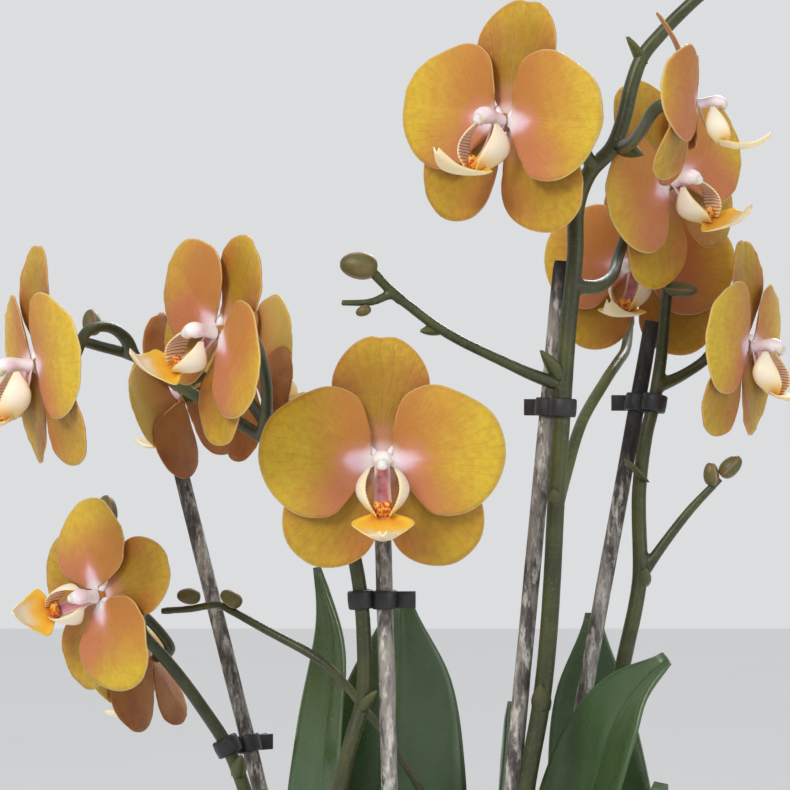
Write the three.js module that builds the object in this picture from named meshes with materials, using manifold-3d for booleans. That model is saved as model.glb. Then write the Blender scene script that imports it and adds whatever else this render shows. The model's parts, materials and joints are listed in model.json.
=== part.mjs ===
// Potted moth orchid: a pot of bark with three crowns, nine leaves, four flower spikes tied to
// stakes by clips, and twelve blooms. Millimetres, +Z up, origin at the centre of the underside.
import * as THREE from 'three';
import { mergeVertices } from 'three/addons/utils/BufferGeometryUtils.js';
import Module from 'manifold-3d';

const wasm = await Module();
wasm.setup();

// Driving dimensions
const FIT_GAP = 0.35;
const FINEST_EDGE = 0.06;
const POT_HEIGHT = 125;
const POT_TOP_RADIUS = 75;
const POT_BASE_RADIUS = 56;
const POT_WALL = 5;
const POT_FLOOR = 7;
const POT_SIDES = 27;
const RIM_HEIGHT = 14;
const RIM_STEP = 2.5;
const MEDIUM_TOP = 108;
const CHIP_COUNT = 22;
const CHIP_SIZE = 27;
const STAKE_RADIUS = 2.8;
const STAKE_FOOT = 40;
const CROWN_RADIUS = 9;
const CROWN_FOOT = 85;
const CROWN_TOP = 128;
const TEPAL_THICKNESS = 0.8;
const LIP_THICKNESS = 0.9;
const LEAF_THICKNESS = 2;
const HUB_RADIUS = 3;
const HUB_DEPTH = 2.4;
const CLIP_HEIGHT = 6;
const CLIP_WALL = 1.3;

// Colours and surfaces
function surface(color, roughness) {
  return new THREE.MeshStandardMaterial({ color, roughness, metalness: 0 });
}
const TEPAL = surface(0xd9962e, 0.55);
const LIP = surface(0xf4e6d8, 0.5);
const STEM_GREEN = surface(0x4f5a2a, 0.6);
const LEAF_GREEN = surface(0x2f4f26, 0.4);
const CANE = surface(0x8c857c, 0.85);
const BLACK_PLASTIC = surface(0x17181a, 0.5);
const CROWN_GREEN = surface(0x6f7f3f, 0.6);
const BARK = surface(0x5b3d27, 0.95);
const POT_CERAMIC = surface(0xe4dfd6, 0.35);

const vec = (x, y, z) => new THREE.Vector3(x, y, z);
const lerp = THREE.MathUtils.lerp;
const degrees = THREE.MathUtils.degToRad;

// Conversions between a closed geometry and a solid that can be joined or cut
function toSolid(geometry) {
  const bare = geometry.clone();
  bare.deleteAttribute('normal');
  bare.deleteAttribute('uv');
  const closed = mergeVertices(bare, 1e-5);
  return new wasm.Manifold(new wasm.Mesh({
    numProp: 3,
    vertProperties: new Float32Array(closed.attributes.position.array),
    triVerts: new Uint32Array(closed.index.array),
  }));
}

function toGeometry(solid) {
  const mesh = solid.getMesh();
  const geometry = new THREE.BufferGeometry();
  geometry.setAttribute('position', new THREE.BufferAttribute(mesh.vertProperties, 3));
  geometry.setIndex(new THREE.BufferAttribute(mesh.triVerts, 1));
  geometry.computeVertexNormals();
  return geometry;
}

// The largest body of a solid, without loose scraps, slivers or the skins of sealed hollows
function largest(solid) {
  const bodies = solid.decompose();
  return bodies.reduce((best, next) => (next.volume() > best.volume() ? next : best)).simplify(FINEST_EDGE);
}

function join(solids) {
  return largest(solids.reduce((whole, next) => whole.add(next)));
}

// A value read from evenly spaced stops, straight between them
function atStops(stops, t) {
  const place = Math.min(Math.max(t, 0), 1) * (stops.length - 1);
  const low = Math.min(Math.floor(place), stops.length - 2);
  return lerp(stops[low], stops[low + 1], place - low);
}

// A closed blade: rows of points across a surface, set off to both sides of it, with the same
// triangles on each side. A row is [u, strips], and neighbouring rows may differ in their strips.
function blade(shape, rows, thickness) {
  const step = 0.004;
  const low = rows[0][0];
  const insideU = (u) => Math.min(Math.max(u, low), 1);
  const insideV = (v) => Math.min(Math.max(v, 0), 1);
  const normalAt = (u, v) => {
    const along = shape(insideU(u + step), v).sub(shape(insideU(u - step), v));
    const across = shape(u, insideV(v + step)).sub(shape(u, insideV(v - step)));
    return along.cross(across).normalize();
  };
  const starts = [];
  const near = [];
  for (const [u, strips] of rows) {
    starts.push(near.length);
    for (let j = 0; j <= strips; j++) {
      const v = j / strips;
      near.push([shape(u, v), normalAt(u, v)]);
    }
  }
  const far = near.length;
  const positions = [0.5, -0.5].flatMap((side) => near.flatMap(
    ([point, normal]) => point.clone().addScaledVector(normal, side * thickness).toArray(),
  ));
  const index = [];
  const addBoth = (a, b, c) => index.push(a, b, c, far + a, far + c, far + b);
  for (let i = 0; i + 1 < rows.length; i++) {
    const [lower, upper] = [rows[i][1], rows[i + 1][1]];
    let [j, k] = [0, 0];
    while (j < lower || k < upper) {
      const a = starts[i] + j;
      const b = starts[i + 1] + k;
      if (k === upper || (j < lower && (j + 0.5) / lower < (k + 0.5) / upper)) {
        addBoth(a, b, a + 1);
        j += 1;
      } else {
        addBoth(a, b, b + 1);
        k += 1;
      }
    }
  }
  const ends = rows.map(([, strips], i) => starts[i] + strips);
  const foot = Array.from({ length: rows[0][1] }, (_, j) => starts[0] + j);
  const tip = Array.from({ length: rows.at(-1)[1] }, (_, j) => ends.at(-1) - j);
  const rim = [...foot, ...ends.slice(0, -1), ...tip, ...starts.slice(1).reverse()];
  rim.forEach((a, k) => {
    const b = rim[(k + 1) % rim.length];
    index.push(a, b, far + b, a, far + b, far + a);
  });
  const geometry = new THREE.BufferGeometry();
  geometry.setAttribute('position', new THREE.Float32BufferAttribute(positions, 3));
  geometry.setIndex(index);
  return toSolid(geometry);
}

// A closed round stem along a smooth curve, its radius read from stops along its length
function stem(points, radii, sides, steps) {
  const curve = new THREE.CatmullRomCurve3(points.map((p) => vec(...p)), false, 'centripetal');
  const frames = curve.computeFrenetFrames(steps, false);
  const positions = [];
  for (let i = 0; i <= steps; i++) {
    const centre = curve.getPointAt(i / steps);
    const radius = atStops(radii, i / steps);
    for (let k = 0; k < sides; k++) {
      const turn = (2 * Math.PI * k) / sides;
      const point = centre.clone()
        .addScaledVector(frames.normals[i], radius * Math.cos(turn))
        .addScaledVector(frames.binormals[i], radius * Math.sin(turn));
      positions.push(point.x, point.y, point.z);
    }
  }
  const index = [];
  for (let i = 0; i < steps; i++) {
    for (let k = 0; k < sides; k++) {
      const a = i * sides + k;
      const b = i * sides + ((k + 1) % sides);
      index.push(a, b, b + sides, a, b + sides, a + sides);
    }
  }
  const last = steps * sides;
  for (let k = 1; k < sides - 1; k++) {
    index.push(0, k + 1, k, last, last + k, last + k + 1);
  }
  const geometry = new THREE.BufferGeometry();
  geometry.setAttribute('position', new THREE.Float32BufferAttribute(positions, 3));
  geometry.setIndex(index);
  return toSolid(geometry);
}

// An egg-shaped solid with its long axis along a direction
function egg(centre, radii, direction, across, down) {
  const geometry = new THREE.SphereGeometry(1, across, down);
  geometry.scale(radii[0], radii[1], radii[2]);
  const turn = new THREE.Quaternion().setFromUnitVectors(vec(0, 1, 0), vec(...direction).normalize());
  geometry.applyQuaternion(turn);
  geometry.translate(...centre);
  return toSolid(geometry);
}

const bud = (centre, radius, length, direction) => egg(centre, [radius, length / 2, radius], direction, 6, 4);
const hub = () => egg([0, 0, 0], [HUB_RADIUS, HUB_DEPTH, HUB_RADIUS], [0, 1, 0], 5, 2);

// A bract: a short pointed scale that leaves the stem at its foot and leans along a direction
function bract(foot, direction, out, length, width) {
  const along = vec(...direction).normalize();
  const lift = vec(...out).normalize();
  const side = along.clone().cross(lift).normalize();
  const half = [0.42, 0.5, 0.34, 0.08];
  const shape = (u, v) => {
    const across = (2 * v - 1) * atStops(half, u) * width;
    const hug = 0.5 * width * (2 * v - 1) ** 2 * (1 - u);
    return vec(...foot).addScaledVector(along, u * length).addScaledVector(side, across)
      .addScaledVector(lift, 0.2 * length * u * u - hug);
  };
  return blade(shape, [[0, 1], [0.45, 2], [1, 1]], 1);
}

// Tepals, seen from the front of the bloom: x to the right, z up, and y back from the viewer.
// An outline runs round the tepal from one edge of its narrow claw to the other.
const PETAL_OUTLINE = [[4.6, -4], [9.6, -9.8], [15.5, -16], [26, -16], [34.8, -8.6], [38.4, 2.5],
  [35, 14], [25.5, 20.8], [15.5, 23.8], [7, 20], [3.2, 9]];
const PETAL_CLAW = [[3.7, -1.8], [3.5, 2.4]];
const SEPAL_OUTLINE = [[4.2, 5.1], [9, 11.5], [13.6, 17.5], [15.2, 25], [12, 33], [5, 38.6], [-5, 38.6],
  [-12, 33], [-15.2, 25], [-13.6, 17.5], [-9, 11.5], [-4.2, 5.1]];
const SEPAL_CLAW = [[2.4, 3.7], [-2.4, 3.7]];
const CLAW_ROOT = 0.8;
const PETAL_ROWS = [[-1, 1], [0, 1], [0.5, 4], [1, 9]];
const SEPAL_ROWS = [[-1, 1], [0, 1], [0.5, 3], [1, 7]];
const TEPAL_REACH = 38.4;
const SEPAL_TURN = 137;

const flatCurve = (points) => new THREE.CatmullRomCurve3(points.map(([x, z]) => vec(x, 0, z)));
const petalCurve = flatCurve(PETAL_OUTLINE);
const sepalCurve = flatCurve(SEPAL_OUTLINE);

// A point of a tepal's outline plane: from the claw (u = 0) to the outline (u = 1), or from the
// claw back to its root inside the hub (u = -1)
function onTepal(claw, curve, u, v) {
  const base = vec(lerp(claw[0][0], claw[1][0], v), 0, lerp(claw[0][1], claw[1][1], v));
  if (u >= 0) return base.lerp(curve.getPoint(v), u);
  const root = base.clone().setLength(CLAW_ROOT);
  return base.lerp(root, -u);
}

// A tepal's point drawn forward round the hub, as when the bloom is partly closed
function drawIn(point, bloom) {
  const angle = degrees(bloom.close);
  const reach = Math.hypot(point.x, point.z);
  return vec(point.x * Math.cos(angle), point.y - reach * Math.sin(angle), point.z * Math.cos(angle));
}

// The petal swells forward beside the column and its outer end sweeps back
function petal(bloom, side) {
  const shape = (u, v) => {
    const point = onTepal(PETAL_CLAW, petalCurve, u, v);
    const reach = Math.hypot(point.x, point.z) / (TEPAL_REACH + 2);
    const swell = bloom.swell * Math.sin(Math.PI * Math.min(reach, 1));
    const sweep = bloom.reflex * (point.x / TEPAL_REACH) ** 2;
    const wave = bloom.wave * u * u * Math.sin(Math.PI * (3 * v + bloom.phase + 0.3 * side));
    return drawIn(vec(side * point.x, -1 - swell + sweep + wave, point.z), bloom);
  };
  return blade(side > 0 ? shape : (u, v) => shape(u, 1 - v), PETAL_ROWS, TEPAL_THICKNESS / bloom.size);
}

// A sepal points up before it is turned about the bloom's axis, and curls back towards its tip
function sepal(bloom, turn) {
  const angle = degrees(turn);
  const shape = (u, v) => {
    const point = onTepal(SEPAL_CLAW, sepalCurve, u, v);
    const back = bloom.curl * (point.z / TEPAL_REACH) ** 2;
    const trough = 1.2 * (point.x / 15) ** 2;
    const placed = vec(
      point.x * Math.cos(angle) + point.z * Math.sin(angle),
      1 + back - trough,
      -point.x * Math.sin(angle) + point.z * Math.cos(angle),
    );
    return drawIn(placed, bloom);
  };
  return blade(shape, SEPAL_ROWS, TEPAL_THICKNESS / bloom.size);
}

function tepals(bloom) {
  return join([
    hub(),
    sepal(bloom, 0),
    sepal(bloom, SEPAL_TURN),
    sepal(bloom, -SEPAL_TURN),
    petal(bloom, 1),
    petal(bloom, -1),
  ]);
}

// The lip and column: the column reaches forward over a claw that carries two raised side lobes
// and the arrow-shaped middle lobe
const COLUMN_START = HUB_DEPTH + FIT_GAP;
const COLUMN_PATH = [[0, -COLUMN_START, 0.2], [0, -8, 1.2], [0, -12.5, 0.8], [0, -14, -1.2]];
const CLAW_PATH = [[0, -3.4, -1.2], [0, -6, -9], [0, -12, -16.8]];
const MIDLOBE_LENGTH = 22;
const MIDLOBE_HALF = [2.6, 9.4, 7.6, 5, 3, 1];
const LOBE_OUT = [2, 4.4, 5.8, 5.4, 3.6];
const LOBE_HALF = [2.2, 4.6, 4.6, 3, 1];
const LOBE_TURN = 2.2;

const steps = (count, strips) => Array.from({ length: count + 1 }, (_, i) => [i / count, strips]);

function ribbon(points, half, hollow, rows) {
  const curve = new THREE.CatmullRomCurve3(points.map((p) => vec(...p)), false, 'centripetal');
  const shape = (u, v) => {
    const across = (2 * v - 1) * atStops(half, u);
    return curve.getPointAt(u).add(vec(across, 0, hollow * (2 * v - 1) ** 2));
  };
  return blade(shape, rows, LIP_THICKNESS);
}

function sideLobe(side) {
  const shape = (u, v) => {
    const forward = lerp(12.5, 9, u) + (2 * v - 1) * atStops(LOBE_HALF, u);
    const turn = LOBE_TURN * (1 - 2 * v) * Math.sin(Math.PI * u);
    return vec(side * (atStops(LOBE_OUT, u) + turn), -forward, lerp(-16.4, -1, u));
  };
  return blade(side > 0 ? shape : (u, v) => shape(u, 1 - v), steps(3, 1), LIP_THICKNESS);
}

function midLobe(droop) {
  const angle = degrees(droop);
  const points = [0, 0.35, 0.7, 1].map((t) => {
    const reach = t * MIDLOBE_LENGTH;
    const lift = 4.5 * t ** 4 - 1.5 * Math.sin(Math.PI * t);
    return [0, -11 - reach * Math.cos(angle) - lift * Math.sin(angle),
      -16.4 - reach * Math.sin(angle) + lift * Math.cos(angle)];
  });
  return ribbon(points, MIDLOBE_HALF, 1.5, [[0, 1], [0.2, 2], [0.6, 2], [1, 1]]);
}

function lip(bloom) {
  return join([
    stem(COLUMN_PATH, [2.5, 2.3, 2.9, 1.8], 5, 3),
    ribbon(CLAW_PATH, [2.4, 2.6, 3.2], 0, steps(2, 1)),
    sideLobe(1),
    sideLobe(-1),
    midLobe(bloom.droop),
  ]);
}

// Blooms: the centre, how each is turned (yaw to the right, pitch down, roll clockwise, in
// degrees), its size, and how its tepals and lip are bent
const BLOOM_SHAPE = { size: 1, swell: 2, reflex: 2.5, wave: 0.5, phase: 0, curl: 2.5, close: 0, droop: 4 };
const BLOOMS = [
  { at: [20.5, -12, 490.5], yaw: -38, pitch: -2, roll: 8, reflex: -2, wave: 0.9, phase: 0.6, droop: 2 },
  { at: [-18, -16, 384], yaw: 0, pitch: 0, roll: -1, size: 1.01, droop: 24 },
  { at: [-67.5, -32, 424], yaw: -57, pitch: 0, roll: 40, size: 0.88, reflex: -4, curl: -2, phase: 1.1, droop: -6 },
  { at: [-61, 42, 413], yaw: 122, pitch: 4, roll: 35, size: 0.78, reflex: 4, phase: 0.3 },
  { at: [-86.5, 58, 404], yaw: -125, pitch: 12, roll: 18, size: 0.76, reflex: 4, phase: 0.8 },
  { at: [77, 38, 475.5], yaw: 42, pitch: -2, roll: -28, size: 0.92, reflex: -3, phase: 0.5 },
  { at: [76, -42, 493], yaw: 82, pitch: 0, roll: 0, size: 0.72, reflex: 13, curl: 13, phase: 0.2 },
  { at: [70, 80, 449], yaw: -22, pitch: 2, roll: 4, size: 0.9, phase: 0.9 },
  { at: [-112, 40, 338], yaw: -45, pitch: 0, roll: 68, size: 0.86, phase: 0.4 },
  { at: [-100, 92, 312], yaw: -118, pitch: 25, roll: 0, size: 0.75, close: 18 },
  { at: [-124, -26, 414], yaw: -65, pitch: 6, roll: 0, size: 0.95, phase: 0.7 },
  { at: [104, 50, 421], yaw: 62, pitch: 4, roll: 0, size: 0.92, phase: 0.1 },
].map((bloom) => ({ ...BLOOM_SHAPE, ...bloom }));

function bloomMeshes(bloom, number) {
  const name = `bloom_${String(number).padStart(2, '0')}`;
  return [['tepals', tepals(bloom), TEPAL], ['lip', lip(bloom), LIP]].map(([part, solid, material]) => {
    const mesh = new THREE.Mesh(toGeometry(solid), material);
    mesh.name = `${name}_${part}`;
    mesh.position.set(...bloom.at);
    mesh.rotation.set(degrees(bloom.pitch), degrees(bloom.roll), degrees(bloom.yaw), 'ZXY');
    mesh.scale.setScalar(bloom.size);
    return mesh;
  });
}

// The point behind a bloom's hub where its pedicel ends, and a point further back along its axis
function behind(bloom, distance) {
  const turn = new THREE.Euler(degrees(bloom.pitch), degrees(bloom.roll), degrees(bloom.yaw), 'ZXY');
  return vec(0, distance, 0).applyEuler(turn).add(vec(...bloom.at)).toArray();
}

function pedicel(number, route, radius = 1.9) {
  const bloom = BLOOMS[number - 1];
  const end = HUB_DEPTH * bloom.size + FIT_GAP;
  const points = [...route, behind(bloom, end + 7), behind(bloom, end)];
  return stem(points, [radius + 0.5, radius, radius, radius + 0.3], 6, 5);
}

// Stakes: straight canes from the bark to their cut tops
const STAKES = {
  a: { low: [8, 16, 110], top: [40.2, 18, 448.5] },
  b: { low: [13.4, 38, 110], top: [73.5, 62, 430] },
  d: { low: [-11.4, 10, 110], top: [-18, 12, 366] },
  g: { low: [-19.3, 56, 110], top: [-90, 92, 381.5] },
};
for (const stake of Object.values(STAKES)) {
  const low = vec(...stake.low);
  const rise = vec(...stake.top).sub(low);
  stake.foot = low.clone().addScaledVector(rise, (STAKE_FOOT - low.z) / rise.z);
  stake.at = (z) => low.clone().addScaledVector(rise, (z - low.z) / rise.z);
}

function cane(stake, extra) {
  const top = vec(...stake.top);
  const length = top.distanceTo(stake.foot) + extra;
  const geometry = new THREE.CylinderGeometry(STAKE_RADIUS + extra, STAKE_RADIUS + extra, length, 9);
  geometry.translate(0, length / 2 - extra, 0);
  const lean = top.clone().sub(stake.foot).normalize();
  geometry.applyQuaternion(new THREE.Quaternion().setFromUnitVectors(vec(0, 1, 0), lean));
  geometry.translate(...stake.foot.toArray());
  return toSolid(geometry);
}

// Spikes: the main stem's route with the stops of its radius, then its branches, pedicels,
// bracts and buds
const SPIKES = {
  a: {
    route: [[20, 17, 116], [18.5, 11.5, 140], [19.5, 10.5, 170], [22, 10.5, 205], [24.6, 11.3, 240],
      [28.3, 12, 277.5], [33.1, 12, 305], [35.4, 12, 326], [36.7, 12, 345.3], [38, 12, 371],
      [39.9, 12, 398.5], [41.8, 12, 426], [44.1, 12, 450.2], [44.9, 14, 466.5], [49.1, 15, 477.2],
      [56.3, 15, 485], [60.1, 15, 494.7], [62.4, 15, 504.4], [66, 15, 514.4], [71.8, 15, 521.6],
      [78.6, 15, 528.7], [86.2, 13, 535.2], [95.5, 10, 539.3]],
    radii: [3.3, 3.1, 3, 3, 2.9, 2.8, 2.6, 2],
    steps: 28,
  },
  b: {
    route: [[24, 22, 116], [26, 34, 135], [29, 44, 152], [33, 50, 175], [41, 53, 210], [49.5, 53, 250],
      [57.5, 50, 290], [63.4, 49, 318.5], [67, 50, 334.7], [68.4, 51, 344.4], [68.3, 53, 372.3],
      [70.7, 54, 391.2], [73.5, 55, 402.3], [76.3, 56, 419.9], [77.2, 56, 430.4], [78, 55, 441]],
    radii: [3.1, 2.9, 2.8, 2.7, 2.5, 2],
    steps: 18,
  },
  d: {
    route: [[-24, 23, 116], [-31, 21, 138], [-35.5, 16, 180], [-37.4, 11, 224], [-36.2, 10, 256],
      [-32, 10, 277.8], [-27.8, 10, 294.2], [-24.3, 11, 306.7], [-24, 12, 325.9], [-25.3, 12, 342.1],
      [-27.2, 12, 353], [-30.1, 12, 364], [-36.6, 12, 376.3], [-44.7, 12, 385.3], [-56.8, 10, 391.5],
      [-71.8, 11, 401], [-82.4, 11, 407.5], [-90.9, 9, 413.6], [-99.6, 7, 418.1], [-108.9, 8, 420.7],
      [-117, 14, 423], [-125, 26, 427]],
    radii: [3.1, 2.8, 2.7, 2.6, 2.3, 2, 1.7],
    steps: 27,
  },
  g: {
    route: [[-30, 45, 116], [-35, 52, 136], [-42, 58, 165], [-52, 64, 218], [-60.5, 69, 250],
      [-65.6, 71, 269.1], [-71.8, 72, 284.3], [-80, 72, 297], [-87.8, 70, 308.2], [-93.8, 68, 315.9],
      [-101.2, 66, 324.7], [-108.5, 66, 337], [-112, 70, 349], [-113, 74, 360]],
    radii: [3, 2.8, 2.7, 2.5, 2.2, 1.8],
    steps: 16,
  },
};
const SPIKE_SIDES = 7;
const BRANCH_LEFT = [[38.6, 12, 408.5], [29.4, 8, 411.8], [19.6, 4, 416.2], [5.1, 0, 423.2],
  [-2.9, -2, 428.2], [-10.8, -4, 434.2], [-15, -4, 436.7], [-21.3, -5, 434.5], [-31, -6, 434.1]];
const BRANCH_PALE = [[38, 13, 367], [41.8, 24, 378.9], [48, 38, 396], [57, 52, 410], [62, 66, 416],
  [66, 80, 421], [68, 92, 430], [69, 97, 440]];
const BRANCH_LOW = [[24, 11.3, 231], [19, 7.5, 238], [12, 9, 247], [4, 18, 259], [-5.4, 32, 274.7],
  [-13, 33, 287.1], [-21.6, 34, 298.2], [-34.5, 36, 313.6], [-41.5, 38, 318.7], [-57.4, 44, 326.8],
  [-68.8, 50, 332.4], [-73.3, 52, 334.3], [-83.2, 54, 332.8], [-93, 55, 332]];
const BRANCH_RIGHT = [[68, 51, 342.5], [74.2, 51, 351.8], [84.9, 50, 366], [95, 48, 377]];

function spikeStem({ route, radii, steps: count }, extra = 0) {
  return stem(route, radii.map((radius) => radius + extra), SPIKE_SIDES, count);
}

function spikeA() {
  return join([
    spikeStem(SPIKES.a),
    stem(BRANCH_LEFT, [2.3, 1.8, 1.7, 1.6, 1], 6, 9),
    stem([[-12, -4, 435], [-17.8, -4, 440.5], [-21, -4, 444]], [1.9, 1.6, 1.8], 6, 2),
    bud([-25.5, -4, 446], 4.3, 12, [-1, 0, 0.12]),
    bud([-24, -6.4, 431.6], 1.7, 5, [-1, 0, -0.4]),
    stem(BRANCH_PALE, [2.1, 2, 1.9, 1.9], 6, 8),
    stem(BRANCH_LOW, [1.9, 1.6, 1.5, 1.6, 1.2], 6, 14),
    bud([-83.5, 52.5, 337.2], 2.7, 8, [-1, 0, 0.1]),
    bud([-69, 49, 336.6], 2.7, 8, [-0.8, 0, 0.5]),
    bract([38.5, 9.5, 409.5], [-0.5, -0.1, 1], [-0.6, -1, 0], 11, 5),
    bract([1, -1.5, 425], [-1, 0, 0.1], [0, -1, -0.5], 7, 4),
    bract([33.5, 9.4, 303], [-0.1, -0.1, 1], [0, -1, 0], 9, 6),
    bract([57.5, 12.4, 485.5], [1, -0.1, -0.35], [0, -1, -0.2], 9, 5),
    bract([64.4, 14.5, 512], [-0.25, -0.1, 1], [-1, -0.5, 0], 9, 5),
    bract([38.6, 10, 369], [-0.3, -0.2, 1], [0, -1, 0], 6, 5),
    pedicel(1, [[50, 14.5, 479], [44, 10, 487]]),
    pedicel(6, [[44.5, 12, 440], [51, 16, 440], [57, 26, 444], [61, 40, 453]], 2),
    pedicel(7, [[59.5, 12, 485], [60, 4, 485], [61, -6, 485], [62.5, -22, 487]], 2),
    pedicel(8, [[68, 92, 430], [69, 97, 440]], 1.7),
    bud([101, 9, 541], 3.8, 12, [1, -0.1, 0.25]),
    stem([[86, 13, 535], [90, 12, 543], [93, 10, 548]], [1.8, 1.5, 1.5], 6, 2),
    bud([95.5, 9.5, 552], 4.2, 12, [0.5, -0.1, 1]),
  ]);
}

function spikeB() {
  return join([
    spikeStem(SPIKES.b),
    stem(BRANCH_RIGHT, [2.1, 1.8, 1.6, 1.3], 6, 4),
    bud([98.5, 47.3, 381], 3, 9, [0.7, -0.1, 0.7]),
    bud([92, 47, 378.5], 2.6, 8, [-0.1, -0.1, 1]),
    bract([68.3, 51.5, 376], [-0.5, -0.3, 1], [-1, -0.3, 0], 9, 5),
    bract([69, 48.5, 341], [0.2, -0.1, 1], [0, -1, 0], 6, 5),
    pedicel(12, [[75, 55.3, 408], [82, 57, 411], [90, 57.5, 416]]),
    bud([74.6, 52, 445], 2.5, 8, [-1, -0.2, 0.2]),
    bud([82.5, 52.5, 440.5], 2.7, 11, [1, -0.2, -0.1]),
  ]);
}

function spikeD() {
  return join([
    spikeStem(SPIKES.d),
    bract([-24.2, 8.4, 303], [0.5, -0.1, 1], [0.6, -1, 0], 8, 4),
    pedicel(2, [[-31, 12, 366], [-25.5, 7.5, 378]]),
    pedicel(3, [[-56.8, 10, 391.5], [-55, 2, 400], [-55, -10, 412]]),
    pedicel(4, [[-54, 10.5, 390.5], [-56.5, 19, 396], [-65, 32, 407]]),
    pedicel(5, [[-82, 11, 407.5], [-80, 22, 410], [-77, 34, 411]]),
    pedicel(11, [[-98, 7, 417.3], [-100, 2, 423], [-104.5, -5, 426.5], [-110.5, -13, 425]]),
    bud([-129, 31, 430], 3.8, 12, [-0.6, 0.6, 0.4]),
    bud([-112, 14, 428.5], 3, 9, [-0.2, 0.5, 1]),
  ]);
}

function spikeG() {
  return join([
    spikeStem(SPIKES.g),
    pedicel(9, [[-106, 66, 332], [-104, 58, 336]]),
    pedicel(10, [[-101, 66, 324.7], [-102, 72, 330]]),
    bract([-67.5, 68, 274], [0.1, -0.1, 1], [0.2, -1, 0], 8, 5),
    bud([-113.3, 75.5, 365], 3.5, 11, [-0.1, 0.2, 1]),
  ]);
}

// Clips: a band round the spike and a band round its stake, with a bridge and two finger tabs
const CLIPS = {
  a: { z: 401, stemAt: [40.1, 12, 401], lean: [0.07, 0, 1], stemRadius: 3, stake: STAKES.a },
  b: { z: 402.3, stemAt: [73.5, 55, 402.3], lean: [0.2, 0.07, 1], stemRadius: 2.8, stake: STAKES.b },
  d: { z: 339, stemAt: [-25, 12, 339], lean: [-0.08, 0, 1], stemRadius: 2.75, stake: STAKES.d },
  g: { z: 284.3, stemAt: [-71.6, 72, 284.3], lean: [-0.5, 0.02, 1], stemRadius: 3.1, stake: STAKES.g },
};

function ring(centre, axis, radius, height, sides) {
  const geometry = new THREE.CylinderGeometry(radius, radius, height, sides);
  geometry.applyQuaternion(new THREE.Quaternion().setFromUnitVectors(vec(0, 1, 0), axis));
  geometry.translate(centre.x, centre.y, centre.z);
  return toSolid(geometry);
}

function clip({ z, stemAt, lean, stemRadius, stake }) {
  const stemCentre = vec(...stemAt);
  const stemAxis = vec(...lean).normalize();
  const stakeCentre = stake.at(z);
  const stakeAxis = vec(...stake.top).sub(stake.foot).normalize();
  const across = stemCentre.clone().sub(stakeCentre);
  const middle = stemCentre.clone().add(stakeCentre).multiplyScalar(0.5);
  const bridge = new THREE.BoxGeometry(across.length() + 2, CLIP_WALL * 2, CLIP_HEIGHT);
  const tab = new THREE.BoxGeometry(7, CLIP_WALL, CLIP_HEIGHT);
  tab.translate(-across.length() / 2 - STAKE_RADIUS - 4, 0, 0);
  const turn = Math.atan2(across.y, across.x);
  const bands = [bridge, tab].map((box) => {
    box.rotateZ(turn);
    box.translate(middle.x, middle.y, middle.z);
    return toSolid(box);
  });
  const whole = join([
    ...bands,
    ring(stemCentre, stemAxis, stemRadius + FIT_GAP + CLIP_WALL, CLIP_HEIGHT, 8),
    ring(stakeCentre, stakeAxis, STAKE_RADIUS + FIT_GAP + CLIP_WALL, CLIP_HEIGHT, 8),
  ]);
  const open = whole
    .subtract(ring(stemCentre, stemAxis, stemRadius + FIT_GAP, CLIP_HEIGHT * 3, 8))
    .subtract(ring(stakeCentre, stakeAxis, STAKE_RADIUS + FIT_GAP, CLIP_HEIGHT * 3, 8));
  return largest(open);
}

// Leaves: the midrib's route, the way the blade faces across at its foot and at its tip, its
// width, and how far its edges fold to the side that the midrib's direction and that way give
const LEAF_ROWS = [[0, 2], [0.13, 2], [0.27, 4], [0.42, 4], [0.57, 4], [0.72, 4], [0.86, 4], [1, 2]];
const LEAF_HALF = [0.14, 0.5, 0.8, 0.95, 1, 0.96, 0.84, 0.6, 0.12];
const LEAVES = [
  { route: [[-34, 37, 117], [-38, 41, 190], [-39.5, 44, 250], [-37, 50, 290], [-34.5, 53, 322], [-40, 54, 347]],
    across: [[0.5, -0.87, 0], [0.5, -0.87, 0]], width: 36, fold: -4 },
  { route: [[-19.5, 31.5, 117], [-16.5, 50, 180], [-16.6, 62, 255], [-12.5, 68, 305], [-12, 72, 336]],
    across: [[1, 0, 0], [0.98, -0.1, 0]], width: 58, fold: 4 },
  { route: [[30.7, 17, 122], [38, 20, 180], [46, 25, 255], [61, 18, 305], [74, 12, 320]],
    across: [[-0.2, -1, 0], [0.78, -0.62, 0.1]], width: 44, fold: -7 },
  { route: [[30.3, 22.5, 118], [45, 33, 142], [58, 47, 168], [63, 66, 205], [60, 86, 250], [56, 98, 295], [56, 100, 328]],
    across: [[0.45, -0.9, 0], [0.95, -0.2, 0]], width: 44, fold: -4 },
  { route: [[27, 12, 118], [41, -4, 165], [56, -13, 220], [66, -14, 262], [70, -11, 283]],
    across: [[0.9, 0.4, 0], [0.8, 0.6, 0]], width: 44, fold: 5 },
  { route: [[15.8, 23, 117], [11, 29, 150], [13, 42, 195], [20, 53, 240], [23, 58, 275], [25, 60, 301]],
    across: [[-0.5, -0.86, 0], [0.3, -0.95, 0]], width: 26, fold: 2 },
  { route: [[-30, 21, 113], [-50, 21, 148], [-98, 20, 184], [-138, 26, 178], [-157, 20, 160]],
    across: [[0.1, -1, 0], [0.1, -1, 0]], width: 54, fold: 7 },
  { route: [[30.5, 15, 114], [70, 14, 150], [104, 20, 168], [138, 24, 160], [154, 26, 142]],
    across: [[0, 1, 0], [-0.1, 1, 0]], width: 56, fold: -7 },
  { route: [[-23, 16, 116], [-28.5, -18, 153], [-42, -64, 170], [-54, -102, 160], [-60, -120, 142]],
    across: [[1, 0, 0], [1, -0.3, 0]], width: 48, fold: 7 },
];

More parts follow.
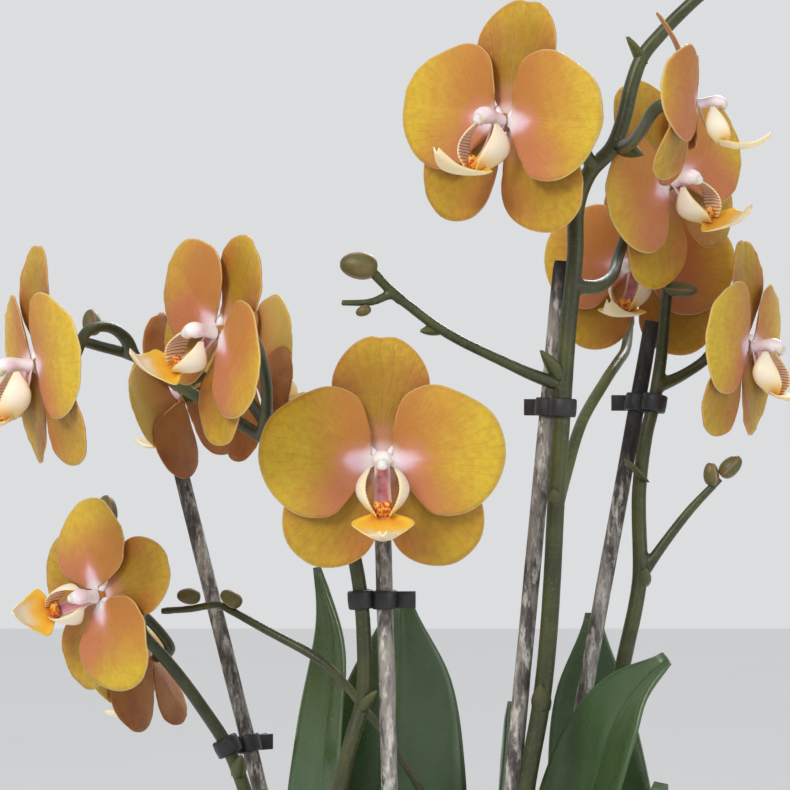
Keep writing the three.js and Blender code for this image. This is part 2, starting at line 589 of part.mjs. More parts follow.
function leaf({ route, across: [low, high], width, fold }, extra = 0) {
  const points = route.map((p) => vec(...p));
  const rise = points[1].clone().sub(points[0]).normalize();
  points[0].addScaledVector(rise, -extra);
  const curve = new THREE.CatmullRomCurve3(points, false, 'centripetal');
  const shape = (u, v) => {
    const along = curve.getTangentAt(u);
    const across = vec(...low).lerp(vec(...high), u);
    across.addScaledVector(along, -across.dot(along)).normalize();
    const up = along.clone().cross(across);
    const reach = 2 * v - 1;
    const half = extra + 0.5 * width * atStops(LEAF_HALF, u);
    const lift = fold * atStops(LEAF_HALF, u) * Math.abs(reach) ** 1.5;
    return curve.getPointAt(u).addScaledVector(across, reach * half).addScaledVector(up, lift);
  };
  return blade(shape, LEAF_ROWS, LEAF_THICKNESS + 2 * extra);
}

// Crowns: short plant bases that stand in holes in the bark, with sockets for the feet of the
// spikes and of the leaves
const CROWNS = { right: [23, 19], left: [-22, 24], back: [-28, 42] };

function crown([x, y]) {
  const geometry = new THREE.CylinderGeometry(CROWN_RADIUS * 0.9, CROWN_RADIUS, CROWN_TOP - CROWN_FOOT, 12);
  geometry.rotateX(Math.PI / 2);
  geometry.translate(x, y, (CROWN_TOP + CROWN_FOOT) / 2);
  const sockets = [
    ...Object.values(SPIKES).map((spike) => spikeStem(spike, FIT_GAP)),
    ...LEAVES.map((shape) => leaf(shape, FIT_GAP)),
  ];
  return largest(sockets.reduce((body, socket) => body.subtract(socket), toSolid(geometry)));
}

// The pot: a plain tapered vessel with a stepped rim
function pot() {
  const profile = [
    [0, 0], [POT_BASE_RADIUS, 0], [POT_TOP_RADIUS - RIM_STEP - 1, POT_HEIGHT - RIM_HEIGHT],
    [POT_TOP_RADIUS, POT_HEIGHT - RIM_HEIGHT], [POT_TOP_RADIUS, POT_HEIGHT],
    [POT_TOP_RADIUS - POT_WALL, POT_HEIGHT], [POT_BASE_RADIUS - POT_WALL, POT_FLOOR], [0, POT_FLOOR],
  ];
  const geometry = new THREE.LatheGeometry(profile.map(([r, z]) => new THREE.Vector2(r, z)), POT_SIDES);
  geometry.rotateX(Math.PI / 2);
  return largest(toSolid(geometry));
}

// A repeatable draw between 0 and 1
function makeDraw(seed) {
  let state = seed;
  return () => {
    state = (state * 16807) % 2147483647;
    return state / 2147483647;
  };
}

// The medium: a plug of bark that fills the pot, chips in relief on top, holes for what stands in it
function medium(standing) {
  const innerAt = (z) => lerp(
    POT_BASE_RADIUS - POT_WALL,
    POT_TOP_RADIUS - POT_WALL,
    (z - POT_FLOOR) / (POT_HEIGHT - POT_FLOOR),
  ) - FIT_GAP * 1.6;
  const foot = POT_FLOOR + FIT_GAP;
  const plug = new THREE.CylinderGeometry(innerAt(MEDIUM_TOP), innerAt(foot), MEDIUM_TOP - foot, POT_SIDES);
  plug.rotateX(Math.PI / 2);
  plug.translate(0, 0, (MEDIUM_TOP + foot) / 2);
  const draw = makeDraw(41);
  const chips = Array.from({ length: CHIP_COUNT }, (_, k) => {
    const reach = Math.sqrt((k + 0.5) / CHIP_COUNT) * (innerAt(MEDIUM_TOP) - CHIP_SIZE * 0.55);
    const turn = k * degrees(137.5);
    const chip = new THREE.BoxGeometry(
      CHIP_SIZE * (0.7 + 0.5 * draw()),
      CHIP_SIZE * (0.4 + 0.3 * draw()),
      CHIP_SIZE * 0.3,
    );
    chip.rotateX(0.5 * (draw() - 0.5));
    chip.rotateY(0.5 * (draw() - 0.5));
    chip.rotateZ(2 * Math.PI * draw());
    chip.translate(reach * Math.cos(turn), reach * Math.sin(turn), MEDIUM_TOP + 2 * draw() - 0.5);
    return toSolid(chip);
  });
  const body = join([toSolid(plug), ...chips]);
  return largest(standing.reduce((rest, hole) => rest.subtract(hole), body));
}

function crownHole([x, y]) {
  const depth = MEDIUM_TOP + 30 - CROWN_FOOT;
  const radius = CROWN_RADIUS + FIT_GAP;
  const geometry = new THREE.CylinderGeometry(radius, radius, depth, 12);
  geometry.rotateX(Math.PI / 2);
  geometry.translate(x, y, CROWN_FOOT - FIT_GAP + depth / 2);
  return toSolid(geometry);
}

// The whole plant
const group = new THREE.Group();

function add(name, solid, material) {
  const mesh = new THREE.Mesh(toGeometry(solid), material);
  mesh.name = name;
  group.add(mesh);
}

add('pot', pot(), POT_CERAMIC);
const holes = [
  ...Object.values(STAKES).map((stake) => cane(stake, FIT_GAP)),
  ...Object.values(CROWNS).map(crownHole),
];
add('bark_medium', medium(holes), BARK);
for (const [key, place] of Object.entries(CROWNS)) {
  add(`crown_${key}`, crown(place), CROWN_GREEN);
}
LEAVES.forEach((shape, k) => add(`leaf_${k + 1}`, leaf(shape), LEAF_GREEN));
add('spike_a', spikeA(), STEM_GREEN);
add('spike_b', spikeB(), STEM_GREEN);
add('spike_d', spikeD(), STEM_GREEN);
add('spike_g', spikeG(), STEM_GREEN);
for (const [key, stake] of Object.entries(STAKES)) {
  add(`stake_${key}`, cane(stake, 0), CANE);
  add(`clip_${key}`, clip(CLIPS[key]), BLACK_PLASTIC);
}
BLOOMS.forEach((bloom, k) => group.add(...bloomMeshes(bloom, k + 1)));

export default group;
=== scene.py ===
"""Looks of a potted moth orchid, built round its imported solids. Metres, +Z up, -Y towards the camera."""
import json

import bpy
import numpy as np
from mathutils import Euler, Matrix, Vector, noise

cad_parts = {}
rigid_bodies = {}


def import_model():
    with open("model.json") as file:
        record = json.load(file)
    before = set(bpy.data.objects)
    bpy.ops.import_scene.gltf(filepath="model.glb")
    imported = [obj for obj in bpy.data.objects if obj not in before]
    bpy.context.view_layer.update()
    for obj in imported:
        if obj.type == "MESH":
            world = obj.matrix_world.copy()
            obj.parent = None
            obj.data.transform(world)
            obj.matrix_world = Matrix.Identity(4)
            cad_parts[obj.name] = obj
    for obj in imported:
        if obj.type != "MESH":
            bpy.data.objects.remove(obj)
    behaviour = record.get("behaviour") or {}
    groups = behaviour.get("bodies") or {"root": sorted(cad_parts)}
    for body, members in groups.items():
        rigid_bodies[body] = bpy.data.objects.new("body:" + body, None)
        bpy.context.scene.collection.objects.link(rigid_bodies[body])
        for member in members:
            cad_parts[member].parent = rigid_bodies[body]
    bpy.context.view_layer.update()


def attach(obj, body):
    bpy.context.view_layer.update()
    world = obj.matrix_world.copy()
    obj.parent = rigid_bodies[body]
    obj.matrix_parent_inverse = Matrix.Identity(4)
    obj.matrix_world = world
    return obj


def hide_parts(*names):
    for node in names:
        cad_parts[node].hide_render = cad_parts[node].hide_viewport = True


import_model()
MM = 0.001
rng = np.random.default_rng(7)


def add_object(name, data):
    item = bpy.data.objects.new(name, data)
    bpy.context.scene.collection.objects.link(item)
    return item


# Camera: level with the upper blooms, at the photograph's distance
CAMERA_AT = Vector((-14, -900, 405)) * MM
LENS = 128.8
SENSOR = 36

camera_data = bpy.data.cameras.new("camera")
camera_data.lens = LENS
camera_data.sensor_width = SENSOR
camera_data.clip_start = 0.01
camera = add_object("camera", camera_data)
camera.location = CAMERA_AT
camera.rotation_euler = Euler((np.pi / 2, 0, 0))
bpy.context.scene.camera = camera


# Curves and values along them
def unit(vector):
    """The vector at length one."""
    vector = np.array(vector, float)
    return vector / np.linalg.norm(vector)


def smooth_stops(stops, t):
    """A value read from evenly spaced stops, eased between them by a cubic."""
    place = min(max(t, 0), 1) * (len(stops) - 1)
    i = min(int(place), len(stops) - 2)
    f = place - i
    a = stops[max(i - 1, 0)]
    b, c = stops[i], stops[i + 1]
    d = stops[min(i + 2, len(stops) - 1)]
    return b + 0.5 * f * (c - a + f * (2 * a - 5 * b + 4 * c - d + f * (3 * (b - c) + d - a)))


class Curve:
    """A centripetal Catmull-Rom curve through points in millimetres."""

    def __init__(self, points, samples=24):
        self.points = [np.array(p, float) for p in points]
        ts = np.linspace(0, 1, samples * (len(points) - 1) + 1)
        self.table = np.array([self.at(t) for t in ts])
        steps = np.linalg.norm(np.diff(self.table, axis=0), axis=1)
        self.lengths = np.concatenate([[0], np.cumsum(steps)])

    def at(self, t):
        p = self.points
        place = t * (len(p) - 1)
        i = min(int(place), len(p) - 2)
        f = place - i
        p1, p2 = p[i], p[i + 1]
        p0 = p[i - 1] if i > 0 else 2 * p1 - p2
        p3 = p[i + 2] if i + 2 < len(p) else 2 * p2 - p1
        d0, d1, d2 = (max(np.linalg.norm(b - a), 1e-8) ** 0.5 for a, b in ((p0, p1), (p1, p2), (p2, p3)))
        t1 = ((p1 - p0) / d0 - (p2 - p0) / (d0 + d1) + (p2 - p1) / d1) * d1
        t2 = ((p2 - p1) / d1 - (p3 - p1) / (d1 + d2) + (p3 - p2) / d2) * d1
        return (
            p1 + t1 * f + (3 * (p2 - p1) - 2 * t1 - t2) * f**2 + (2 * (p1 - p2) + t1 + t2) * f**3
        )

    def along(self, t):
        """The point at a share of the length."""
        want = min(max(t, 0), 1) * self.lengths[-1]
        return np.array([np.interp(want, self.lengths, self.table[:, k]) for k in range(3)])

    def tangent(self, t):
        step = 0.004
        return unit(self.along(t + step) - self.along(t - step))


# Meshes
NO_VALUE = (0, 0, 0, 0, 0)


class Shape:
    """Points, faces and named values of one piece, in millimetres."""

    def __init__(self):
        self.points = []
        self.faces = []
        self.values = []
        self.slots = []

    def grid(self, points, values, closed=False, looped=False, slot=0):
        """Quads over rows of points; closed joins each row's ends, looped the last row to the first."""
        start = len(self.points)
        rows, count = len(points), len(points[0])
        for row, row_values in zip(points, values):
            self.points += [tuple(p) for p in row]
            self.values += [tuple(v) for v in row_values]
        for i in range(rows if looped else rows - 1):
            low, high = start + i * count, start + (i + 1) % rows * count
            for j in range(count if closed else count - 1):
                k = (j + 1) % count
                self.faces.append((low + j, low + k, high + k, high + j))
                self.slots.append(slot)
        return start

    def barrel(self, rings, values, slot=0):
        """Closed rings with a flat face over each end."""
        count = len(rings[0])
        start = self.grid(rings, values, closed=True, slot=slot)
        last = start + (len(rings) - 1) * count
        self.faces += [tuple(reversed(range(start, start + count))), tuple(range(last, last + count))]
        self.slots += [slot, slot]

    def blade(self, surface, rows, strips, thickness, thin_edge=0.45, slots=(0, 0)):
        """A closed blade about surface(u, v) -> (point, four values), thinner towards its edge."""
        us, vs = np.linspace(0, 1, rows + 1), np.linspace(0, 1, strips + 1)
        cells = [[surface(u, v) for v in vs] for u in us]
        mid = np.array([[c[0] for c in row] for row in cells], float)
        values = [[c[1] for c in row] for row in cells]
        du = np.gradient(mid, axis=0)
        dv = np.gradient(mid, axis=1)
        normal = np.cross(du, dv)
        normal /= np.maximum(np.linalg.norm(normal, axis=2, keepdims=True), 1e-9)
        edge_u = np.minimum(us, 1 - us) * rows
        edge_v = np.minimum(vs, 1 - vs) * strips
        inset = np.minimum(edge_u[:, None], edge_v[None, :])
        share = thin_edge + (1 - thin_edge) * np.clip(inset / 2, 0, 1)
        half = 0.5 * thickness * share[:, :, None]
        front = self.grid(mid + normal * half, [[(*v, 1) for v in row] for row in values], slot=slots[0])
        first = len(self.faces)
        back = self.grid(mid - normal * half, [[(*v, 0) for v in row] for row in values], slot=slots[1])
        self.faces[first:] = [tuple(reversed(f)) for f in self.faces[first:]]
        count = strips + 1
        rim = [j for j in range(count)]
        rim += [i * count + strips for i in range(1, rows + 1)]
        rim += [rows * count + j for j in reversed(range(strips))]
        rim += [i * count for i in reversed(range(1, rows))]
        for k, a in enumerate(rim):
            b = rim[(k + 1) % len(rim)]
            self.faces.append((front + b, front + a, back + a, back + b))
            self.slots.append(slots[0])

    def tube(self, curve, radius, sides=12, steps=None, values=lambda t, turn: (t, turn, 0, 0, 1), slot=0):
        """A closed round stem along a curve; radius is a function of the share of length and the turn."""
        steps = steps or max(4, int(curve.lengths[-1] / 1.6))
        side = None
        rings, ring_values = [], []
        for i in range(steps + 1):
            t = i / steps
            way = curve.tangent(t)
            if side is None:
                side = np.cross(way, (0.3, 1, 0.2) if abs(way[2]) > 0.5 else (0, 0, 1))
            side = unit(side - way * side.dot(way))
            up = np.cross(way, side)
            centre = curve.along(t)
            turns = [2 * np.pi * k / sides for k in range(sides)]
            rings.append([centre + radius(t, a) * (side * np.cos(a) + up * np.sin(a)) for a in turns])
            ring_values.append([values(t, a) for a in turns])
        self.barrel(rings, ring_values, slot)

    def egg(
        self, centre, radius, length, direction, rows=8, sides=12, ridge=0.0, value=(0, 0, 0, 0, 1), slot=0
    ):
        """A bud: round in section, fuller towards its foot, with shallow ridges."""
        way = unit(direction)
        side = unit(np.cross(way, (0, 0, 1) if abs(way[2]) < 0.8 else (0, 1, 0)))
        up = np.cross(way, side)
        rings, values = [], []
        for i in range(1, rows):
            angle = np.pi * i / rows
            reach = -np.cos(angle) * length / 2
            wide = radius * np.sin(angle) ** 0.85 * (1 - 0.12 * np.cos(np.pi - angle))
            ring = []
            for k in range(sides):
                turn = 2 * np.pi * k / sides
                r = wide * (1 + ridge * abs(np.cos(1.5 * turn)) ** 6)
                ring.append(np.array(centre) + way * reach + r * (side * np.cos(turn) + up * np.sin(turn)))
            rings.append(ring)
            values.append([(i / rows, 3 * k / sides, *value[2:]) for k in range(sides)])
        start = self.grid(rings, values, closed=True, slot=slot)
        for row, sign, flip in ((0, -1, True), (rows - 2, 1, False)):
            tip = len(self.points)
            self.points.append(tuple(np.array(centre) + way * sign * length / 2))
            self.values.append((0.0 if sign < 0 else 1.0, 0.0, *value[2:]))
            for k in range(sides):
                a, b = start + row * sides + k, start + row * sides + (k + 1) % sides
                self.faces.append((b, a, tip) if flip else (a, b, tip))
                self.slots.append(slot)

    def build(self, name, materials, place=Matrix.Identity(4)):
        """The piece as a new object; its caller sets it riding on the plant's one body."""
        mesh = bpy.data.meshes.new(name)
        points = [place @ (Vector(p) * MM) for p in self.points]
        mesh.from_pydata(points, [], self.faces)
        values = np.array(self.values, np.float32)
        plan = mesh.attributes.new("plan", "FLOAT_COLOR", "POINT")
        plan.data.foreach_set("color", values[:, (0, 1, 2, 4)].ravel())
        rim = mesh.attributes.new("rim", "FLOAT", "POINT")
        rim.data.foreach_set("value", values[:, 3].copy())
        for material in materials:
            mesh.materials.append(material)
        mesh.polygons.foreach_set("material_index", self.slots)
        mesh.polygons.foreach_set("use_smooth", [True] * len(mesh.polygons))
        mesh.update()
        return add_object(name, mesh)


def dress(piece, slot, *nodes):
    """The piece rides on the plant and stands for the named nodes."""
    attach(piece, "root")
    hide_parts(*nodes)
    return piece


# Materials
class Recipe:
    """A node material with one main shader and short helpers for its links."""

    def __init__(self, name, roughness=0.5, **constant):
        self.material = bpy.data.materials.new(name)
        self.material.use_nodes = True
        self.tree = self.material.node_tree
        self.shader = self.tree.nodes["Principled BSDF"]
        self.shader.inputs["Roughness"].default_value = roughness
        for socket, value in constant.items():
            self.shader.inputs[socket.replace("_", " ")].default_value = value
        self.plan = self.add("ShaderNodeAttribute", attribute_name="plan")
        self.split = self.add("ShaderNodeSeparateColor")
        self.link(self.plan.outputs["Color"], self.split.inputs[0])
        self.u, self.v, self.w = self.split.outputs
        self.front = self.plan.outputs["Alpha"]
        self.rim = self.add("ShaderNodeAttribute", attribute_name="rim").outputs["Fac"]
        self.place = self.add("ShaderNodeTexCoord").outputs["Object"]

    def add(self, kind, **settings):
        node = self.tree.nodes.new(kind)
        for key, value in settings.items():
            setattr(node, key, value)
        return node

    def link(self, source, target):
        self.tree.links.new(source, target)

    def math(self, operation, a, b=0.0, c=0.0):
        node = self.add("ShaderNodeMath", operation=operation)
        for socket, value in zip(node.inputs, (a, b, c)):
            if isinstance(value, bpy.types.NodeSocket):
                self.link(value, socket)
            else:
                socket.default_value = value
        return node.outputs[0]

    def span(self, value, low, high, to_low=0.0, to_high=1.0, smooth=True):
        node = self.add("ShaderNodeMapRange", interpolation_type="SMOOTHSTEP" if smooth else "LINEAR")
        self.link(value, node.inputs["Value"])
        for socket, number in zip(("From Min", "From Max", "To Min", "To Max"), (low, high, to_low, to_high)):
            node.inputs[socket].default_value = number
        return node.outputs[0]

    def mix(self, share, a, b):
        node = self.add("ShaderNodeMix", data_type="RGBA")
        for name, value in (("Factor", share), ("A", a), ("B", b)):
            kind = "VALUE" if name == "Factor" else "RGBA"
            socket = next(s for s in node.inputs if s.name == name and s.type == kind)
            if isinstance(value, bpy.types.NodeSocket):
                self.link(value, socket)
            else:
                socket.default_value = value if name == "Factor" else (*value, 1)
        return next(s for s in node.outputs if s.type == "RGBA")

    def noise(self, scale, detail=3.0, roughness=0.55, vector=None):
        node = self.add("ShaderNodeTexNoise")
        self.link(vector or self.place, node.inputs["Vector"])
        node.inputs["Scale"].default_value = scale
        node.inputs["Detail"].default_value = detail
        node.inputs["Roughness"].default_value = roughness
        return node.outputs["Fac"]

    def stretched(self, x, y, z):
        node = self.add("ShaderNodeVectorMath", operation="MULTIPLY")
        self.link(self.place, node.inputs[0])
        node.inputs[1].default_value = (x, y, z)
        return node.outputs[0]

    def ribs(self, across, along):
        """The blade's own place, drawn out along its length."""
        node = self.add("ShaderNodeCombineXYZ")
        self.link(self.math("MULTIPLY", self.v, across), node.inputs[0])
        self.link(self.math("MULTIPLY", self.u, along), node.inputs[1])
        return node.outputs[0]

    def off_middle(self, value):
        """How far a value is from one half."""
        return self.math("ABSOLUTE", self.math("SUBTRACT", value, 0.5))

    def ragged(self, value, patch, width):
        """A value shifted to and fro by a noise, so that a border along it is uneven."""
        return self.math("MULTIPLY_ADD", patch, width, self.math("SUBTRACT", value, width / 2))

    def bump(self, height, distance, strength=1.0):
        node = self.add("ShaderNodeBump")
        node.inputs["Distance"].default_value = distance
        node.inputs["Strength"].default_value = strength
        self.link(height, node.inputs["Height"])
        self.link(node.outputs["Normal"], self.shader.inputs["Normal"])

    def color(self, value):
        self.link(value, self.shader.inputs["Base Color"])

    def rough(self, value):
        self.link(value, self.shader.inputs["Roughness"])


TISSUE_DEPTH = 0.002


def soft_tissue(recipe, radius, weight=0.35):
    """Light passes a little way through thin plant tissue."""
    recipe.shader.inputs["Subsurface Weight"].default_value = weight
    recipe.shader.inputs["Subsurface Radius"].default_value = radius
    recipe.shader.inputs["Subsurface Scale"].default_value = TISSUE_DEPTH


def veins(recipe, count, width=0.12):
    """Fine lines that fan out from the claw: bands of the turn round it, bent a little by noise."""
    drift = recipe.math("MULTIPLY_ADD", recipe.noise(90, 2), 0.05, recipe.v)
    band = recipe.math("MULTIPLY", drift, count)
    cell = recipe.math("FRACT", band)
    off = recipe.off_middle(cell)
    return recipe.span(off, 0.0, width, 1.0, 0.0)


# Flower colours, in linear light
PETAL_GOLD = (0.5, 0.275, 0.035)
PETAL_YELLOW = (0.56, 0.4, 0.028)
PETAL_SALMON = (0.47, 0.165, 0.07)
PETAL_UPPER = (0.44, 0.175, 0.035)
PETAL_VEIN = (0.38, 0.15, 0.03)
SEPAL_GOLD = (0.35, 0.195, 0.013)
SEPAL_BROWN = (0.38, 0.15, 0.025)
SEPAL_YELLOW = (0.5, 0.34, 0.025)
SEPAL_VEIN = (0.26, 0.1, 0.02)


def petal_material():
    """Petal: lilac-white star at the throat, salmon inner half, gold blade, yellow end, thin pale rim."""
    r = Recipe("petal", 0.5, Specular_IOR_Level=0.25)
    soft_tissue(r, (1.0, 0.5, 0.2), 0.2)
    patch = r.noise(60, 5, 0.62)
    speck = r.noise(420, 4, 0.7)
    off_middle = r.off_middle(r.v)
    low = r.span(r.v, 0.5, 0.15)
    outward = r.ragged(r.w, patch, 0.6)
    outward = r.math("SUBTRACT", outward, r.math("MULTIPLY", low, 0.2))
    gold = r.mix(r.span(outward, 0.42, 0.8), PETAL_GOLD, PETAL_YELLOW)
    inner = r.mix(r.span(r.v, 0.42, 0.66), PETAL_SALMON, PETAL_UPPER)
    flush = r.mix(r.span(outward, 0.14, 0.56), inner, gold)
    vein = r.mix(r.math("MULTIPLY", veins(r, 38), 0.12), flush, PETAL_VEIN)
    mottle = r.mix(r.span(speck, 0.35, 0.68, 0.0, 0.3), vein, PETAL_VEIN)
    star = r.math("MULTIPLY_ADD", off_middle, 0.5, r.u)
    star = r.ragged(star, patch, 0.16)
    blush = r.mix(r.span(star, 0.2, 0.46, 0.7, 0.0), mottle, (0.62, 0.27, 0.22))
    lilac = r.mix(r.span(star, 0.2, 0.34, 0.9, 0.0), blush, (0.74, 0.54, 0.62))
    throat = r.mix(r.span(r.u, 0.08, 0.2, 1.0, 0.0), lilac, (0.82, 0.76, 0.76))
    rim = r.mix(r.span(r.rim, 0.97, 1.0, 0.0, 0.7), throat, (0.6, 0.5, 0.22))
    back = r.mix(r.span(r.w, 0.1, 0.8), (0.4, 0.17, 0.06), (0.5, 0.34, 0.07))
    r.color(r.mix(r.front, back, rim))
    r.rough(r.span(speck, 0.3, 0.7, 0.42, 0.6))
    r.bump(r.math("ADD", r.noise(900, 3), r.math("MULTIPLY", veins(r, 38), 0.5)), 0.00018, 0.6)
    return r.material


def sepal_material():
    """Sepal: golden brown, yellower towards its tip, a pinkish foot, a pale rim and a red-brown back."""
    r = Recipe("sepal", 0.5, Specular_IOR_Level=0.25)
    soft_tissue(r, (1.0, 0.45, 0.15), 0.2)
    patch = r.noise(65, 5, 0.62)
    speck = r.noise(420, 4, 0.7)
    reach = r.ragged(r.u, patch, 0.3)
    side = r.ragged(r.w, patch, 0.3)
    blade = r.mix(r.span(side, 0.2, 0.8), SEPAL_GOLD, SEPAL_BROWN)
    tip = r.mix(r.span(reach, 0.62, 0.98, 0.0, 0.8), blade, SEPAL_YELLOW)
    vein = r.mix(r.math("MULTIPLY", veins(r, 24), 0.16), tip, SEPAL_VEIN)
    mottle = r.mix(r.span(speck, 0.35, 0.68, 0.0, 0.35), vein, SEPAL_VEIN)
    foot = r.mix(r.span(r.u, 0.1, 0.42, 0.85, 0.0), mottle, (0.56, 0.25, 0.17))
    throat = r.mix(r.span(r.u, 0.08, 0.2, 0.9, 0.0), foot, (0.74, 0.6, 0.58))
    rim = r.mix(r.span(r.rim, 0.975, 1.0, 0.0, 0.8), throat, (0.56, 0.36, 0.14))
    back = r.mix(r.span(patch, 0.3, 0.7), (0.24, 0.075, 0.022), (0.36, 0.15, 0.04))
    r.color(r.mix(r.front, back, rim))
    r.rough(r.span(speck, 0.3, 0.7, 0.42, 0.6))
    r.bump(r.math("ADD", r.noise(900, 3), r.math("MULTIPLY", veins(r, 24), 0.6)), 0.00018, 0.6)
    return r.material


def lip_material():
    """Middle lobe: orange band along its foot, golden sides and a creamy white tip."""
    r = Recipe("lip", 0.42, Specular_IOR_Level=0.35)
    soft_tissue(r, (1.0, 0.7, 0.4), 0.2)
    patch = r.noise(220, 3)
    reach = r.ragged(r.u, patch, 0.24)
    base = r.mix(r.span(reach, 0.0, 0.3), (0.62, 0.2, 0.02), (0.76, 0.42, 0.03))
    tip = r.mix(r.span(reach, 0.26, 0.62), base, (0.84, 0.78, 0.6))
    edge = r.mix(r.math("MULTIPLY", r.span(r.w, 0.5, 1.0), r.span(r.u, 0.8, 0.4)), tip, (0.76, 0.46, 0.04))
    r.color(r.mix(r.front, (0.8, 0.66, 0.4), edge))
    r.bump(r.noise(900, 2), 0.0001, 0.4)
    return r.material


def throat_material():
    """Claw of the lip: mauve in its channel, cream along its edges."""
    r = Recipe("throat", 0.42, Specular_IOR_Level=0.35)
    soft_tissue(r, (1.0, 0.6, 0.6), 0.2)
    inner = r.mix(r.span(r.noise(300, 3), 0.35, 0.7), (0.4, 0.09, 0.11), (0.56, 0.24, 0.27))
    r.color(r.mix(r.span(r.w, 0.45, 1.0), inner, (0.72, 0.55, 0.5)))
    r.bump(r.noise(900, 2), 0.0001, 0.4)
    return r.material


def lobe_material():
    """Side lobes: cream white, yellow at the foot, purple-red bars inside."""
    r = Recipe("side_lobe", 0.36, Specular_IOR_Level=0.4)
    soft_tissue(r, (1.0, 0.8, 0.6))
    bars = r.math("FRACT", r.math("MULTIPLY_ADD", r.noise(260, 2), 0.8, r.math("MULTIPLY", r.u, 15)))
    bar = r.span(r.off_middle(bars), 0.12, 0.22, 1.0, 0.0)
    where = r.math("MULTIPLY", r.span(r.u, 0.95, 0.5, 0.0, 1.0), r.math("SUBTRACT", 1.0, r.front))
    cream = r.mix(r.span(r.u, 0.0, 0.45), (0.8, 0.56, 0.18), (0.82, 0.74, 0.6))
    cream = r.mix(r.math("MULTIPLY", r.span(r.w, 0.4, 1.0), 0.5), cream, (0.78, 0.58, 0.24))
    r.color(r.mix(r.math("MULTIPLY", r.math("MULTIPLY", bar, where), 0.8), cream, (0.42, 0.05, 0.07)))
    r.bump(r.noise(900, 2), 0.0001, 0.4)
    return r.material


def column_material():
    """Column: white with a lilac flush below and a yellowish cap."""
    r = Recipe("column", 0.34, Specular_IOR_Level=0.45)
    soft_tissue(r, (1.0, 0.8, 0.7))
    body = r.mix(r.span(r.noise(160, 2), 0.35, 0.7), (0.84, 0.79, 0.78), (0.76, 0.58, 0.68))
    r.color(r.mix(r.span(r.u, 0.8, 0.95), body, (0.82, 0.74, 0.5)))
    r.bump(r.noise(700, 2), 0.0001, 0.4)
    return r.material


def callus_material():
    """Callus: yellow knob spotted with orange red."""
    r = Recipe("callus", 0.3, Specular_IOR_Level=0.5)
    spots = r.span(r.noise(900, 2), 0.48, 0.56)
    r.color(r.mix(spots, (0.8, 0.4, 0.05), (0.5, 0.07, 0.015)))
    r.bump(r.noise(700, 2), 0.0002, 0.5)
    return r.material


def stem_material(name, low, high, tint):
    """Spike: dark olive skin with lighter freckles and a bloom of wax."""
    r = Recipe(name, 0.42, Specular_IOR_Level=0.45, Coat_Weight=0.12, Coat_Roughness=0.35)
    soft_tissue(r, (0.6, 1.0, 0.3), 0.1)
    blotch = r.mix(r.span(r.noise(55, 4, 0.6), 0.35, 0.7), low, high)
    fine = r.mix(r.math("MULTIPLY", r.span(r.noise(900, 2), 0.58, 0.66), 0.4), blotch, tint)
    r.color(r.mix(r.span(r.w, 0.0, 1.0, smooth=False), fine, tint))
    r.bump(r.noise(420, 4, 0.7), 0.00025, 0.5)
    return r.material


def bud_material():
    """Bud: olive with pinkish ridges."""
    r = Recipe("bud", 0.45, Specular_IOR_Level=0.4)
    soft_tissue(r, (0.8, 0.8, 0.3), 0.15)
    off = r.off_middle(r.math("FRACT", r.v))
    ridge = r.span(off, 0.38, 0.5)
    skin = r.mix(r.span(r.noise(120, 3), 0.35, 0.7), (0.075, 0.075, 0.02), (0.15, 0.11, 0.035))
    r.color(r.mix(r.math("MULTIPLY", ridge, 0.7), skin, (0.34, 0.17, 0.12)))
    r.bump(r.noise(500, 3), 0.0002, 0.4)
    return r.material


def leaf_material():
    """Leaf: dark green skin with a waxy gloss, faint lengthwise veins and painted shade along the midrib
    groove.
    """
    r = Recipe("leaf", 0.3, Specular_IOR_Level=0.5, Coat_Weight=0.3, Coat_Roughness=0.18)
    soft_tissue(r, (0.4, 1.0, 0.2), 0.08)
    patch = r.noise(28, 5, 0.6)
    skin = r.mix(r.span(patch, 0.3, 0.72), (0.005, 0.019, 0.003), (0.016, 0.048, 0.007))
    fibre = r.noise(1, 4, 0.6, r.ribs(60, 5))
    lined = r.mix(r.span(fibre, 0.42, 0.62, 0.0, 0.35), skin, (0.028, 0.072, 0.012))
    # Painted shade: a darker band along the midrib groove.
    mid = r.span(r.off_middle(r.v), 0.0, 0.04, 0.6, 0.0)
    midrib_shaded = r.mix(mid, lined, (0.004, 0.015, 0.003))
    rim = r.mix(r.span(r.w, 0.94, 1.0, 0.0, 0.6), midrib_shaded, (0.09, 0.15, 0.04))
    back = r.mix(r.span(patch, 0.3, 0.7), (0.03, 0.07, 0.02), (0.05, 0.09, 0.028))
    r.color(r.mix(r.front, back, rim))
    r.rough(r.span(r.noise(160, 3), 0.3, 0.7, 0.22, 0.4))
    r.bump(r.math("ADD", r.noise(260, 3), fibre), 0.00022, 0.3)
    return r.material


def crown_material():
    """Plant base: pale green, browning in papery patches."""
    r = Recipe("crown", 0.6, Specular_IOR_Level=0.3)
    long = r.stretched(1, 1, 0.15)
    r.color(r.mix(r.span(r.noise(140, 4, 0.6, long), 0.4, 0.62), (0.13, 0.2, 0.05), (0.3, 0.22, 0.1)))
    r.bump(r.noise(500, 3, 0.6, long), 0.0005, 0.6)
    return r.material


